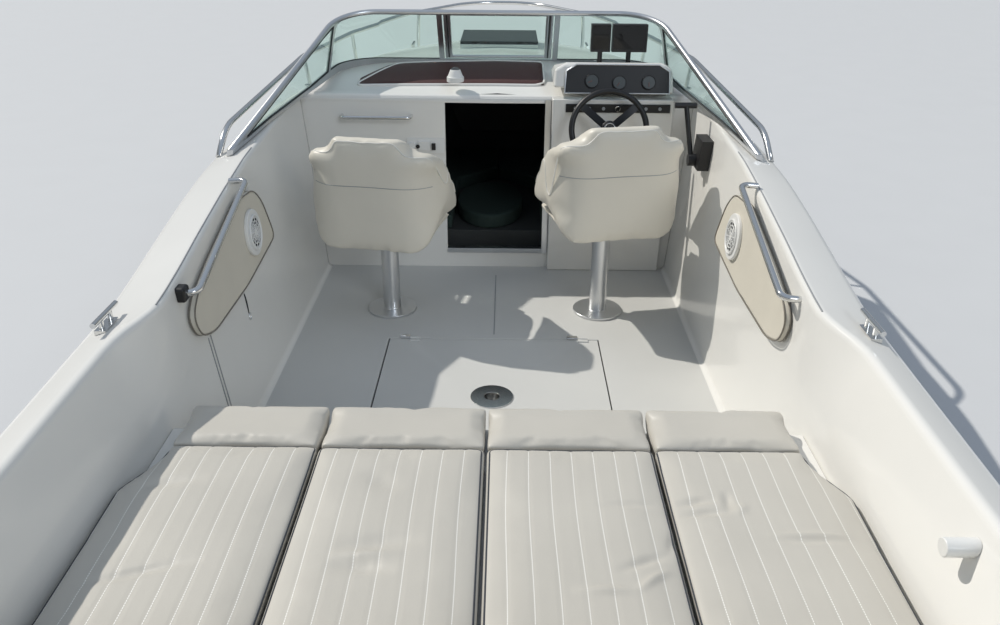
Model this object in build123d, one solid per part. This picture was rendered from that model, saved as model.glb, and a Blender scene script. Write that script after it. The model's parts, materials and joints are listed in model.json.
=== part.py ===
from build123d import *
from math import atan, atan2, cos, degrees, pi, radians, sin, tan
import os

os.makedirs("parts", exist_ok=True)

# Millimetres, +X starboard, +Y to the bow, +Z up; the origin is on the waterline at the transom.

# Hull and deck sections, one row a station:
# y, keel z, chine x, chine z, rail x, rail z, deck edge x, edge z, ridge x, ridge z, crown z
STATIONS = [
    (0, -330, 930, -25, 1120, 600, 1090, 680, 985, 725, 740),
    (700, -341, 946, -28, 1144, 604, 1107, 689, 985, 734, 749),
    (1350, -350, 959, -30, 1160, 610, 1120, 703, 985, 748, 763),
    (1500, -351, 961, -30, 1161, 613, 1120, 713, 986, 759, 773),
    (1650, -351, 963, -29, 1161, 616, 1120, 736, 988, 781, 796),
    (1850, -352, 965, -28, 1162, 621, 1120, 772, 990, 817, 832),
    (2150, -352, 965, -26, 1161, 631, 1118, 826, 989, 865, 884),
    (2450, -352, 965, -22, 1158, 645, 1112, 868, 985, 905, 930),
    (2900, -349, 956, -17, 1145, 668, 1098, 890, 968, 939, 969),
    (3400, -340, 928, -8, 1115, 695, 1070, 900, 930, 965, 1000),
    (3800, -322, 859, 25, 1059, 716, 1012, 899, 861, 983, 1023),
    (4200, -290, 750, 80, 970, 735, 920, 895, 760, 990, 1035),
    (4600, -235, 608, 150, 848, 751, 793, 885, 637, 973, 1021),
    (5000, -140, 430, 250, 680, 765, 620, 870, 480, 940, 985),
    (5300, -8, 274, 360, 512, 775, 451, 857, 331, 910, 942),
    (5550, 189, 146, 482, 330, 781, 278, 841, 192, 878, 895),
    (5720, 414, 69, 587, 175, 784, 142, 827, 94, 848, 857),
    (5830, 600, 25, 665, 60, 785, 45, 815, 30, 825, 830),
]
CAMBER_AT = 0.55
CAMBER_RISE = 0.75
CHINE_FLAT = 45
HULL_SKIN = 45
DECK_SKIN = 50
RUB_RAIL_OUT = 18
RUB_RAIL_HIGH = 40

# Cockpit well
FLOOR_Z = 50
FLOOR_THICK = 30
WELL_AFT_Y = 160
AFT_WALL = 30
BULKHEAD_Y = 3415
BULKHEAD_THICK = 25
WALL_FOOT_X = 885
WALL_LEAN = 0.08
WALL_THICK = 25
KNEE_Z = 500
# y, lean of the side walls above the knee
WELL_ROWS = [(0, 0.35), (1230, 0.35), (1430, WALL_LEAN), (3600, WALL_LEAN)]
SEAT_GAP = 0.3

# Cabin, its companionway and its sliding door
DOOR_PORT_X = -255
DOOR_STARBOARD_X = 235
DOOR_SILL_Z = 150
DOOR_HEAD_Z = 910
DOOR_THICK = 8
DOOR_LAP = 10
TRACK = 12
CABIN_SOLE_Z = 60
CABIN_END_Y = 5150
BERTH_TOP_Z = 200
BERTH_CUSHION = 80
BERTH_AFT_Y = 3560
INFILL_HALF = 185

# Windscreen
SCREEN_FOOT_Z = 1000
SCREEN_TOP_Z = 1318
SCREEN_FOOT_Y = 3965
SCREEN_TOP_Y = 3750
SCREEN_FOOT_CORNER_X = 826
SCREEN_TOP_CORNER_X = 790
SCREEN_END_Y = 2500
SCREEN_END_FOOT_X = 1020
SCREEN_END_TOP_X = SCREEN_TOP_CORNER_X + (SCREEN_END_FOOT_X - SCREEN_FOOT_CORNER_X) * (
    SCREEN_TOP_Y - SCREEN_END_Y) / (SCREEN_FOOT_Y - SCREEN_END_Y)
SCREEN_CORNER_R = 230
SCREEN_CORNER_Y = 3640
SCREEN_CORNER_Z = 1245
SCREEN_END_Z = 905
SCREEN_RAIL_Y = 3745
SCREEN_RAIL_Z = 1290
GLASS = 6
POST_X = 300
POST = 26
SCREEN_RAIL_R = 13
WING_END_Y = 2660

# Bow rail, one row a bend or stanchion on the starboard side: x, y, z
RAIL_POINTS = [
    (1090, 2530, 0),
    (1085, 2650, 970),
    (1000, 3745, 1073),
    (850, 4350, 1105),
    (560, 5120, 1130),
    (210, 5620, 1145),
]
RAIL_R = 12.5

# Helm and dash
COMPASS_X = -205
COMPASS_Y = 3480
CONSOLE_PORT_X = 266
CONSOLE_STARBOARD_X = 845
CONSOLE_DEPTH = 70
PANEL_THICK = 6
GAUGE_R = 34
# along the panel, up the panel
GAUGES = [(-120, -5), (10, -12), (150, -10)]
# port side x, starboard side x
DISPLAYS = [(460, 556), (564, 736)]
DISPLAY_Y = 3600
DISPLAY_FOOT_Z = 1126
POD_FOOT_Z = 945
POD_TOP_Z = 1105
POD_DEPTH = 300
WHEEL_X = 530
WHEEL_Y = 3230
WHEEL_Z = 831
WHEEL_R = 190
WHEEL_RIM_R = 14
WHEEL_TILT = 20
WHEEL_BOSS = 30
WHEEL_BOSS_R = 48
TRAY_HALF = 700
TRAY_DROP = 15

# Seats
SEAT_X = 485
SEAT_Y = 2887
SEAT_FLANGE_R = 115
SEAT_POST_R = 40
SEAT_WIDE = 620
SEAT_DEEP = 480
SEAT_HIGH = 490
SEAT_SHELL = 65
# side, seat foot z, turn towards the middle
SEATS = [("port", -1, 430, 10), ("starboard", 1, 485, 12)]

# Sun pad and the engine under it
PAD_TOP_Z = 500
PAD_THICK = 85
PAD_WIDE = 448
PAD_AFT_Y = 300
PAD_SEAM_Y = 1133
PAD_FRONT_Y = 1335
PAD_GAP = 6
LID_THICK = 25
LID_AFT_Y = 225
BENCH_FRONT_Y = 1315
LID_AXIS_Y = 215
LID_AXIS_Z = 402

# Floor hatch and table socket
HATCH_HALF = 458
HATCH_FRONT_Y = 2580
HATCH_AFT_Y = 1690
HATCH_GAP = 6
LEDGE = 22
LOCKER_Z = -150
SOCKET_Y = 2095
SOCKET_R = 84
SOCKET_BORE_R = 30
SOCKET_DEEP = 80

# Foredeck hatch
DECK_HATCH_Y = 4560
DECK_HATCH_HALF = 225
DECK_HATCH_RIM = 32
DECK_HATCH_Z = 1048

STUB_Y = 560
STUB_Z = 660

# Swimming platform and stern drive
PLATFORM_LENGTH = 420
PLATFORM_HALF = 960
PLATFORM_Z = 330
PLATFORM_THICK = 60
PIVOT_Y = -110
PIVOT_Z = 10
PROP_Y = -640
PROP_Z = -530
PROP_R = 175


FOOT_DOWN = (Align.CENTER, Align.CENTER, Align.MIN)
HEAD_UP = (Align.CENTER, Align.CENTER, Align.MAX)


def save(node, *solids):
    shape = solids[0] if len(solids) == 1 else Compound(children=list(solids))
    export_step(shape, "parts/" + node + ".step")


def box(x0, x1, y0, y1, z0, z1):
    centre = ((x0 + x1) / 2, (y0 + y1) / 2, (z0 + z1) / 2)
    return Pos(*centre) * Box(abs(x1 - x0), abs(y1 - y0), abs(z1 - z0))


def rod(start, end, radius):
    start, end = Vector(*start), Vector(*end)
    return Solid.make_cylinder(radius, (end - start).length, Plane(origin=start, z_dir=end - start))


def bends(points, largest):
    """The bend at each inner point, as large as its two runs allow."""
    radii = []
    for a, b, c in zip(points, points[1:], points[2:]):
        before, after = Vector(*b) - Vector(*a), Vector(*c) - Vector(*b)
        half_turn = radians(before.get_angle(after)) / 2
        radii.append(min(largest, 0.45 * min(before.length, after.length) / tan(half_turn)))
    return radii


def tube(points, radius, largest_bend):
    path = FilletPolyline(*points, radius=bends(points, largest_bend))
    return sweep(Plane(origin=path @ 0, z_dir=path % 0) * Circle(radius), path=path)


def across(points, x0, x1):
    """A solid of the side outline (y, z), from x0 to x1."""
    outline = Polyline(*[(x0, y, z) for y, z in points], close=True)
    return extrude(make_face(outline), amount=x1 - x0, dir=(1, 0, 0))


def along(points, y0, y1):
    """A solid of the section outline (x, z), from y0 to y1."""
    outline = Polyline(*[(x, y0, z) for x, z in points], close=True)
    return extrude(make_face(outline), amount=y1 - y0, dir=(0, 1, 0))


def upright(points, z0, z1):
    """A solid of the plan outline (x, y), from z0 to z1."""
    outline = Polyline(*[(x, y, z0) for x, y in points], close=True)
    return extrude(make_face(outline), amount=z1 - z0, dir=(0, 0, 1))


def both(points):
    """A starboard outline with its mirror image to port."""
    return points + [(-x, z) for x, z in reversed(points) if x > 0]


def port_of(shape):
    return mirror(shape, about=Plane.YZ)


def section(y, half):
    return Wire.make_polygon([(x, y, z) for x, z in both(half)], close=True)


def station(y):
    """The row of sizes at y, straight between the two nearest stations."""
    for low, high in zip(STATIONS, STATIONS[1:]):
        if low[0] <= y <= high[0]:
            share = (y - low[0]) / (high[0] - low[0])
            return tuple(a + (b - a) * share for a, b in zip(low, high))
    return STATIONS[-1]


def deck_line(row):
    """The deck's top across its starboard half: edge, ridge, camber point, crown."""
    edge_x, edge_z, ridge_x, ridge_z, crown_z = row[6:]
    camber = (ridge_x * CAMBER_AT, ridge_z + (crown_z - ridge_z) * CAMBER_RISE)
    return [(edge_x, edge_z), (ridge_x, ridge_z), camber, (0, crown_z)]


def deck_z(x, y):
    """Height of the deck's top at a place."""
    line = deck_line(station(y))
    for (x0, z0), (x1, z1) in zip(line, line[1:]):
        if x1 <= abs(x) <= x0:
            return z0 + (z1 - z0) * (x0 - abs(x)) / (x0 - x1)
    return line[0][1]


def wall_x(z):
    """Half-breadth of the cockpit between its side walls at height z, ahead of the sun pad."""
    return WALL_FOOT_X + (z - FLOOR_Z) * WALL_LEAN


def well(extra, z0, z1, y0, y1):
    """The cockpit's space, widened by extra, between two heights and two frames."""
    wires, high = [], 1500
    for y, lean in WELL_ROWS:
        half = [(wall_x(0), 0), (wall_x(KNEE_Z), KNEE_Z), (wall_x(KNEE_Z) + (high - KNEE_Z) * lean, high)]
        wires.append(section(y, [(x + extra, z) for x, z in half]))
    return Solid.make_loft(wires, ruled=True) & box(-1500, 1500, y0, y1, z0, z1)


def hull_body():
    wires = []
    for y, keel_z, chine_x, chine_z, rail_x, rail_z in [row[:6] for row in STATIONS]:
        flat = min(CHINE_FLAT, chine_x / 2)
        half = [(0, keel_z), (chine_x - flat, chine_z), (chine_x, chine_z + 4), (rail_x, rail_z)]
        wires.append(section(y, half))
    return Solid.make_loft(wires, ruled=True)


def deck_body(foot_z=None):
    """The deck's moulding from the rail up, or all that lies under its top down to foot_z."""
    wires = []
    for row in STATIONS:
        line = deck_line(row)
        foot = (row[4], row[5]) if foot_z is None else (line[0][0], foot_z)
        wires.append(section(row[0], [foot] + line))
    return Solid.make_loft(wires, ruled=True)


def cabin_void():
    inner_y = BULKHEAD_Y + BULKHEAD_THICK
    rows = [station(inner_y)] + [row for row in STATIONS if inner_y < row[0] < CABIN_END_Y]
    wires = []
    for row in rows + [station(CABIN_END_Y)]:
        chine_x, chine_z, rail_z, edge_x = row[2], row[3], row[5], row[6]
        half = [
            (chine_x - 2 * HULL_SKIN, max(CABIN_SOLE_Z, chine_z + HULL_SKIN)),
            (edge_x - 2 * HULL_SKIN, rail_z),
        ]
        ridge, camber, crown = deck_line(row)[1:]
        half += [(ridge[0] - HULL_SKIN, ridge[1] - DECK_SKIN), (camber[0], camber[1] - DECK_SKIN)]
        wires.append(section(row[0], half + [(0, crown[1] - DECK_SKIN)]))
    return Solid.make_loft(wires, ruled=True)


bulkhead_back = BULKHEAD_Y + BULKHEAD_THICK
bulkhead_head = DOOR_HEAD_Z + 25
floor_foot = FLOOR_Z - FLOOR_THICK
pad_foot = PAD_TOP_Z - PAD_THICK
bench_x = PAD_WIDE + 4
cabin = cabin_void()
hull_solid = hull_body()
deck_solid = deck_body()
under_deck = deck_body(-400)
well_aft = WELL_AFT_Y - AFT_WALL
well_cut = well(WALL_THICK, floor_foot, 1500, well_aft, BULKHEAD_Y)
bulkhead_space = well(WALL_THICK, floor_foot, bulkhead_head, BULKHEAD_Y, bulkhead_back)


def make_hull():
    bay = box(-PAD_WIDE + 20, PAD_WIDE - 20, WELL_AFT_Y + 50, BENCH_FRONT_Y - 50, LOCKER_Z, 300)
    half = HATCH_HALF - LEDGE
    locker = box(-half, half, HATCH_AFT_Y + LEDGE, HATCH_FRONT_Y - LEDGE, LOCKER_Z, 300)
    save("hull", hull_solid - well_cut - bulkhead_space - cabin - bay - locker)


def make_deck():
    inner = DECK_HATCH_HALF - DECK_HATCH_RIM
    hatch = box(-inner, inner, DECK_HATCH_Y - inner, DECK_HATCH_Y + inner, 700, 1200)
    save("deck", deck_solid - well_cut - bulkhead_space - cabin - hatch)


def make_rub_rail():
    wires = []
    for row in STATIONS:
        y, x, z = row[0], row[4] + SEAT_GAP, row[5]
        low, high, out = z - RUB_RAIL_HIGH / 2, z + RUB_RAIL_HIGH / 2, x + RUB_RAIL_OUT
        corners = [(x, low), (out, low + 8), (out, high - 8), (x, high)]
        wires.append(Wire.make_polygon([(a, y, b) for a, b in corners], close=True))
    rail = Solid.make_loft(wires, ruled=True)
    save("rub_rail", rail, port_of(rail))


def make_floor():
    floor = well(WALL_THICK, floor_foot, FLOOR_Z, well_aft, BULKHEAD_Y)
    half = HATCH_HALF + HATCH_GAP
    floor -= box(-half, half, HATCH_AFT_Y - HATCH_GAP, HATCH_FRONT_Y + HATCH_GAP, 0, 100)
    floor -= box(-PAD_WIDE + 20, PAD_WIDE - 20, WELL_AFT_Y + 50, BENCH_FRONT_Y - 50, 0, 100)
    save("cockpit_floor", floor)


def make_walls():
    inside = well(0, 0, 1400, WELL_AFT_Y, BULKHEAD_Y)
    liner = (well(WALL_THICK, FLOOR_Z, 1300, WELL_AFT_Y, BULKHEAD_Y) - inside) & under_deck
    port, starboard = liner.solids().sort_by(Axis.X)
    save("cockpit_sides", port, starboard)
    aft = well(WALL_THICK, FLOOR_Z, 1300, well_aft, WELL_AFT_Y) & under_deck
    shelf = box(-bench_x, bench_x, WELL_AFT_Y, LID_AFT_Y - 20, FLOOR_Z, pad_foot - 20)
    save("cockpit_aft_wall", aft + shelf)
    return starboard


def make_bulkhead():
    opening = box(DOOR_PORT_X, DOOR_STARBOARD_X, BULKHEAD_Y - 5, bulkhead_back + 5, DOOR_SILL_Z, DOOR_HEAD_Z)
    save("cabin_bulkhead", bulkhead_space - opening)


def make_door():
    y0 = bulkhead_back + 3
    wide = DOOR_STARBOARD_X - DOOR_PORT_X
    save("cabin_door", box(DOOR_PORT_X - wide - DOOR_LAP, DOOR_PORT_X - DOOR_LAP + 5, y0, y0 + DOOR_THICK,
                           DOOR_SILL_Z + SEAT_GAP, DOOR_HEAD_Z + 4))
    left = DOOR_PORT_X - wide - 20
    sill = box(left, DOOR_STARBOARD_X + 30, bulkhead_back, y0 + DOOR_THICK + 4, DOOR_SILL_Z - TRACK, DOOR_SILL_Z)
    step = box(DOOR_PORT_X, DOOR_STARBOARD_X, BULKHEAD_Y - 8, bulkhead_back, DOOR_SILL_Z, DOOR_SILL_Z + 4)
    lip = box(DOOR_PORT_X, DOOR_STARBOARD_X + 28, BULKHEAD_Y - 8, BULKHEAD_Y, DOOR_SILL_Z - 20, DOOR_SILL_Z)
    jamb = box(DOOR_STARBOARD_X, DOOR_STARBOARD_X + 28, BULKHEAD_Y - 12, BULKHEAD_Y, DOOR_SILL_Z - 20,
               DOOR_HEAD_Z + 20)
    save("door_track", sill, step + lip + jamb)


def wheel_frame():
    tilt = radians(WHEEL_TILT)
    return Plane(origin=(WHEEL_X, WHEEL_Y, WHEEL_Z), x_dir=(1, 0, 0), z_dir=(0, -cos(tilt), sin(tilt)))


def make_helm():
    y0 = BULKHEAD_Y - CONSOLE_DEPTH
    profile = [(BULKHEAD_Y - SEAT_GAP, FLOOR_Z), (y0 + 25, FLOOR_Z), (y0, 500), (y0, POD_FOOT_Z),
               (BULKHEAD_Y - SEAT_GAP, POD_FOOT_Z)]
    console = across(profile, CONSOLE_PORT_X, CONSOLE_STARBOARD_X)
    frame = wheel_frame()
    face_at = (y0 - WHEEL_Y) / cos(radians(WHEEL_TILT))
    boss_end = face_at - WHEEL_BOSS
    boss = frame * Pos(0, 0, -boss_end) * Cylinder(WHEEL_BOSS_R, 2 * WHEEL_BOSS, align=HEAD_UP)
    console += boss & box(WHEEL_X - 100, WHEEL_X + 100, WHEEL_Y, y0 + 20, FLOOR_Z, POD_FOOT_Z)
    save("helm_console", console)

    pod_profile = [(y0, POD_FOOT_Z), (y0 + 12, POD_FOOT_Z + 15), (y0 + 62, POD_TOP_Z - 8), (y0 + 90, POD_TOP_Z),
                   (y0 + POD_DEPTH, POD_TOP_Z - 60), (y0 + POD_DEPTH + 40, POD_FOOT_Z)]
    front = [(CONSOLE_PORT_X, POD_FOOT_Z), (CONSOLE_PORT_X + 8, POD_TOP_Z - 30), (CONSOLE_PORT_X + 65, POD_TOP_Z),
             (CONSOLE_STARBOARD_X - 55, POD_TOP_Z), (CONSOLE_STARBOARD_X - 8, POD_TOP_Z - 30),
             (CONSOLE_STARBOARD_X, POD_FOOT_Z)]
    pod = across(pod_profile, 200, 900) & along(front, y0 - 10, y0 + 500)
    pod = (pod - deck_solid).solids().sort_by(SortBy.VOLUME)[-1]
    save("helm_pod", pod)

    lean = degrees(atan(50 / (POD_TOP_Z - POD_FOOT_Z - 23)))
    face = Plane(origin=(572, y0 + 37 - SEAT_GAP, POD_FOOT_Z + 84), x_dir=(1, 0, 0),
                 z_dir=(0, -cos(radians(lean)), sin(radians(lean))))
    panel = extrude(face * Polygon((-250, -62), (250, -62), (248, 30), (200, 58), (-195, 58), (-243, 30),
                                   align=None), amount=PANEL_THICK)
    dials = [(face * Pos(x, z, PANEL_THICK + SEAT_GAP)) * Cylinder(GAUGE_R, 8, align=FOOT_DOWN)
             for x, z in GAUGES]
    foot = deck_z(COMPASS_X, COMPASS_Y)
    compass = Pos(COMPASS_X, COMPASS_Y, foot) * Cylinder(42, 44)
    compass += Pos(COMPASS_X, COMPASS_Y, foot + 22) * Cone(38, 24, 34, align=FOOT_DOWN)
    compass = (compass - deck_solid).solids().sort_by(SortBy.VOLUME)[-1]
    save("instruments", panel, *dials, compass)

    rim_section = Plane.XZ * Pos(WHEEL_R - WHEEL_RIM_R, 0) * RegularPolygon(WHEEL_RIM_R, 10)
    rim = frame * revolve(rim_section, axis=Axis.Z)
    hub = frame * Cylinder(38, 40)
    shaft = frame * Cylinder(16, boss_end - SEAT_GAP, align=HEAD_UP)
    wheel = rim + hub + shaft
    for angle in (40, 140, 270):
        reach = WHEEL_R - WHEEL_RIM_R
        spoke = frame * Rot(0, 0, angle) * Pos(reach / 2, 0, 0) * Box(reach, 34, 9)
        wheel += spoke
    save("steering_wheel", wheel)

    displays = []
    for x0, x1 in DISPLAYS:
        middle = (x0 + x1) / 2
        case = box(x0, x1, DISPLAY_Y, DISPLAY_Y + 45, DISPLAY_FOOT_Z, DISPLAY_FOOT_Z + 130)
        stand = rod((middle, DISPLAY_Y + 22, POD_FOOT_Z), (middle, DISPLAY_Y + 22, DISPLAY_FOOT_Z + 4), 12)
        displays.append(case + (stand - pod).solids().sort_by(Axis.Z)[-1])
    save("chart_displays", *displays)


def make_dash():
    points = [(-TRAY_HALF, 3530), (235, 3540), (235, 3900), (-TRAY_HALF + 130, 3900), (-TRAY_HALF, 3790)]
    slab = upright(points, 900, 1200)
    save("dash_tray", slab & (Pos(0, 0, 4) * deck_solid) - deck_solid)
    plate = box(-447, -262, BULKHEAD_Y - 8, BULKHEAD_Y - SEAT_GAP, 662, 735)
    socket = rod((-420, BULKHEAD_Y - 8, 700), (-420, BULKHEAD_Y - 24, 700), 18)
    rocker = box(-390, -330, BULKHEAD_Y - 16, BULKHEAD_Y - 8, 675, 722)
    console_y = BULKHEAD_Y - CONSOLE_DEPTH
    strip = box(330, 830, console_y - 8, console_y - SEAT_GAP, 885, 925)
    save("switches", plate + socket + rocker, strip)
    wall = wall_x(830)
    face = [(wall_x(z) - SEAT_GAP, z) for z in (730, 860)]
    base = along(face + [(x - 50, z) for x, z in reversed(face)], 2900, 3040)
    lever = rod((wall - 75, 2970, 760), (845, 3050, 985), 11) + rod((795, 3050, 985), (890, 3050, 985), 13)
    hub = rod((wall - 55, 2970, 760), (wall - 90, 2970, 760), 26)
    save("throttle_control", base + hub + lever)


def seat_shapes(foot):
    """The bucket and its cushion about the swivel's axis, facing the bow."""
    wide, deep = SEAT_WIDE / 2, SEAT_DEEP
    aft, front = -SEAT_DEEP / 2 - 5, SEAT_DEEP / 2 - 5
    outer = extrude(Pos(0, (aft + front) / 2, foot) * RectangleRounded(2 * wide, deep, 190), amount=SEAT_HIGH)
    inner = extrude(Pos(0, (aft + front) / 2 + SEAT_SHELL, foot + 55)
                    * RectangleRounded(2 * wide - 2 * SEAT_SHELL, deep, 150), amount=SEAT_HIGH)
    shield = [(120, 0), (210, 35), (285, 130), (312, 260), (300, 340), (235, 395), (205, 465), (150, 490)]
    shield = along([(x, foot + z) for x, z in shield + [(-x, z) for x, z in reversed(shield)]], -400, 400)
    side = [(-300, 0), (300, 0), (300, 140), (130, 155), (20, 215), (-60, 330), (-120, 490), (-300, 490)]
    side = across([(y, foot + z) for y, z in side], -400, 400)
    shell = (outer - inner) & shield & side
    pad = extrude(Pos(0, 30, foot + 55 + SEAT_GAP) * RectangleRounded(2 * wide - 2 * SEAT_SHELL - 40, 360, 120),
                  amount=90)
    return shell, pad


def make_seats():
    pedestals = []
    for side, sign, foot, turn in SEATS:
        place = Pos(sign * SEAT_X, SEAT_Y, 0) * Rot(0, 0, sign * turn)
        flange = Pos(0, 0, FLOOR_Z + 6 + SEAT_GAP) * Cylinder(SEAT_FLANGE_R, 12)
        post = rod((0, 0, FLOOR_Z + 6), (0, 0, foot - 40), SEAT_POST_R)
        pedestals.append(Pos(sign * SEAT_X, SEAT_Y, 0) * (flange + post))
        shell, pad = seat_shapes(foot)
        swivel = rod((0, 0, foot - 40 + SEAT_GAP), (0, 0, foot + 1), 34) + Pos(0, 0, foot - 9) * Box(200, 200, 16)
        save("seat_" + side, place * shell)
        save("seat_cushion_" + side, place * pad)
        save("seat_swivel_" + side, place * (swivel & box(-200, 200, -200, 200, foot - 50, foot - SEAT_GAP)))
    save("seat_pedestals", *pedestals)


def pad(x0, x1, y0, y1):
    shape = box(x0, x1, y0, y1, pad_foot + SEAT_GAP, PAD_TOP_Z)
    return fillet(shape.edges().group_by(Axis.Z)[-1], 18)


def bolster(x0, x1):
    y0, y1 = PAD_SEAM_Y + PAD_GAP / 2, PAD_FRONT_Y
    foot = pad_foot + SEAT_GAP
    profile = [(y0, foot), (y0, PAD_TOP_Z), (y1 - 60, PAD_TOP_Z - 5), (y1 - 15, PAD_TOP_Z - 25), (y1, PAD_TOP_Z - 55),
               (y1, foot)]
    return across(profile, x0, x1)


def make_sun_pad():
    gap = PAD_GAP / 2
    foot = pad_foot + SEAT_GAP
    centre = []
    for x0, x1 in ((-PAD_WIDE, 0), (0, PAD_WIDE)):
        centre.append(pad(x0 + gap, x1 - gap, PAD_AFT_Y, PAD_SEAM_Y - gap))
        centre.append(bolster(x0 + gap, x1 - gap))
    save("sun_pads_centre", *centre)
    outline = [(PAD_WIDE + gap, PAD_AFT_Y), (898, PAD_AFT_Y), (905, 940), (872, 1010), (846, 1080),
               (840, PAD_SEAM_Y - gap), (PAD_WIDE + gap, PAD_SEAM_Y - gap)]
    outer = upright(outline, foot, PAD_TOP_Z)
    outer = fillet(outer.edges().group_by(Axis.Z)[-1], 12)
    front = bolster(PAD_WIDE + gap, 845)
    save("sun_pads_outer", outer, front, port_of(outer), port_of(front))
    lid = box(-PAD_WIDE + gap, PAD_WIDE - gap, LID_AFT_Y, BENCH_FRONT_Y + 5, pad_foot - LID_THICK, pad_foot)
    save("engine_lid", lid + lid_knuckles(1))
    top = pad_foot - SEAT_GAP
    low = FLOOR_Z + SEAT_GAP
    face = [(bench_x, low), (wall_x(low) - SEAT_GAP, low), (wall_x(top) - SEAT_GAP, top), (bench_x, top)]
    bench = along(face, WELL_AFT_Y + SEAT_GAP, BENCH_FRONT_Y)
    save("benches", bench, port_of(bench))
    save("engine_box_front", box(-bench_x + SEAT_GAP, bench_x - SEAT_GAP, BENCH_FRONT_Y - 25, BENCH_FRONT_Y,
                                 FLOOR_Z + SEAT_GAP, pad_foot - LID_THICK - SEAT_GAP))
    save("engine", box(-290, 290, 280, 960, LOCKER_Z + SEAT_GAP, 330))


def lid_knuckles(moving):
    y, z, r = LID_AXIS_Y, LID_AXIS_Z, 6
    pieces = []
    for x in (-300, 300):
        if moving:
            knuckle = rod((x + 1, y, z), (x + 40, y, z), r) + box(x + 1, x + 40, y, LID_AFT_Y + 1, z - 3, z + 3)
            pieces.append(knuckle)
        else:
            base = box(x - 40, x, LID_AFT_Y - 60, y, pad_foot - 20 + SEAT_GAP, z)
            pieces.append(rod((x - 40, y, z), (x, y, z), r) + base)
    return pieces[0] + pieces[1] if moving else pieces


def make_floor_hatch():
    top, bottom = FLOOR_Z, FLOOR_Z - FLOOR_THICK + SEAT_GAP
    lid = box(-HATCH_HALF, HATCH_HALF, HATCH_AFT_Y, HATCH_FRONT_Y, bottom, top)
    lid -= Pos(0, SOCKET_Y, 0) * Cylinder(SOCKET_BORE_R + 4 + SEAT_GAP, 300)
    y, z, r = HATCH_FRONT_Y + 3, FLOOR_Z + 5, 4.5
    fixed = []
    for x in (-370, 370):
        lid += rod((x + 1, y, z), (x + 45, y, z), r) + box(x + 1, x + 45, y - 25, y, FLOOR_Z - 1, z)
        leaf = box(x - 45, x, y, y + 28, FLOOR_Z + SEAT_GAP, z)
        fixed.append(rod((x - 45, y, z), (x, y, z), r) + leaf)
    save("floor_hatch", lid)
    save("hinge_leaves", *fixed, *lid_knuckles(0))
    flange = Pos(0, SOCKET_Y, FLOOR_Z + 2 + SEAT_GAP) * Cylinder(SOCKET_R, 4)
    cup = rod((0, SOCKET_Y, FLOOR_Z + 4 - SOCKET_DEEP), (0, SOCKET_Y, FLOOR_Z + 3), SOCKET_BORE_R + 4)
    bore = rod((0, SOCKET_Y, FLOOR_Z + 8 - SOCKET_DEEP), (0, SOCKET_Y, FLOOR_Z + 30), SOCKET_BORE_R)
    save("table_socket", flange + cup - bore)


def screen_plan(z, inset=0):
    """Front y, corner x and end x of the windscreen's outline at height z; its wings are flat."""
    share = (z - SCREEN_FOOT_Z) / (SCREEN_TOP_Z - SCREEN_FOOT_Z)
    front_y = SCREEN_FOOT_Y + (SCREEN_TOP_Y - SCREEN_FOOT_Y) * share
    corner_x = SCREEN_FOOT_CORNER_X + (SCREEN_TOP_CORNER_X - SCREEN_FOOT_CORNER_X) * share
    end_x = SCREEN_END_FOOT_X + (SCREEN_END_TOP_X - SCREEN_END_FOOT_X) * share
    spread = (end_x - corner_x) / (front_y - SCREEN_END_Y)
    return front_y - inset, corner_x - inset + spread * inset, end_x - inset


def screen_x(y, z):
    """Half-breadth of the windscreen's wing at a place."""
    front_y, corner_x, end_x = screen_plan(z)
    return end_x + (corner_x - end_x) * (y - SCREEN_END_Y) / (front_y - SCREEN_END_Y)


def screen_shell(inset, z0, z1):
    """The windscreen's outline in plan, lofted from its foot to its top."""
    wires = []
    for z in (z0, z1):
        front_y, corner_x, end_x = screen_plan(z, inset)
        aft_x = end_x + (end_x - corner_x) / (front_y - SCREEN_END_Y) * 300
        points = [(aft_x, SCREEN_END_Y - 300), (corner_x, front_y), (-corner_x, front_y),
                  (-aft_x, SCREEN_END_Y - 300)]
        outline = Polyline(*points, close=True)
        corners = outline.vertices().sort_by(Axis.Y)[-2:]
        outline = fillet(corners, SCREEN_CORNER_R - inset)
        wires.append(Pos(0, 0, z) * outline.wire())
    return Solid.make_loft(wires, ruled=True)


def screen_band(outer, inner):
    return screen_shell(outer, SCREEN_END_Z - 60, SCREEN_TOP_Z + 80) - screen_shell(
        inner, SCREEN_END_Z - 60, SCREEN_TOP_Z + 80)


def screen_trim(shape, drop, lift):
    """Keeps what lies between the foot and the top rail."""
    top = [(SCREEN_END_Y, SCREEN_END_Z - drop), (SCREEN_CORNER_Y, SCREEN_CORNER_Z - drop),
           (SCREEN_TOP_Y + 30, SCREEN_TOP_Z - drop), (4200, SCREEN_TOP_Z + 60)]
    foot = [(4200, 1005), (3960, 1005), (3660, 985), (3400, 950), (SCREEN_END_Y, 890)]
    below = across(top + [(4200, 700), (SCREEN_END_Y, 700)], -1200, 1200)
    above = across([(y, z + lift) for y, z in foot] + [(SCREEN_END_Y, 1500), (4200, 1500)], -1200, 1200)
    return shape & below & above


def rail_line(y, below=0):
    """Height of the windscreen rail's middle along a wing, less a drop."""
    share = (y - SCREEN_END_Y - 10) / (SCREEN_RAIL_Y - SCREEN_END_Y - 10)
    return SCREEN_END_Z + (SCREEN_RAIL_Z - SCREEN_END_Z) * share - below


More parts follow.
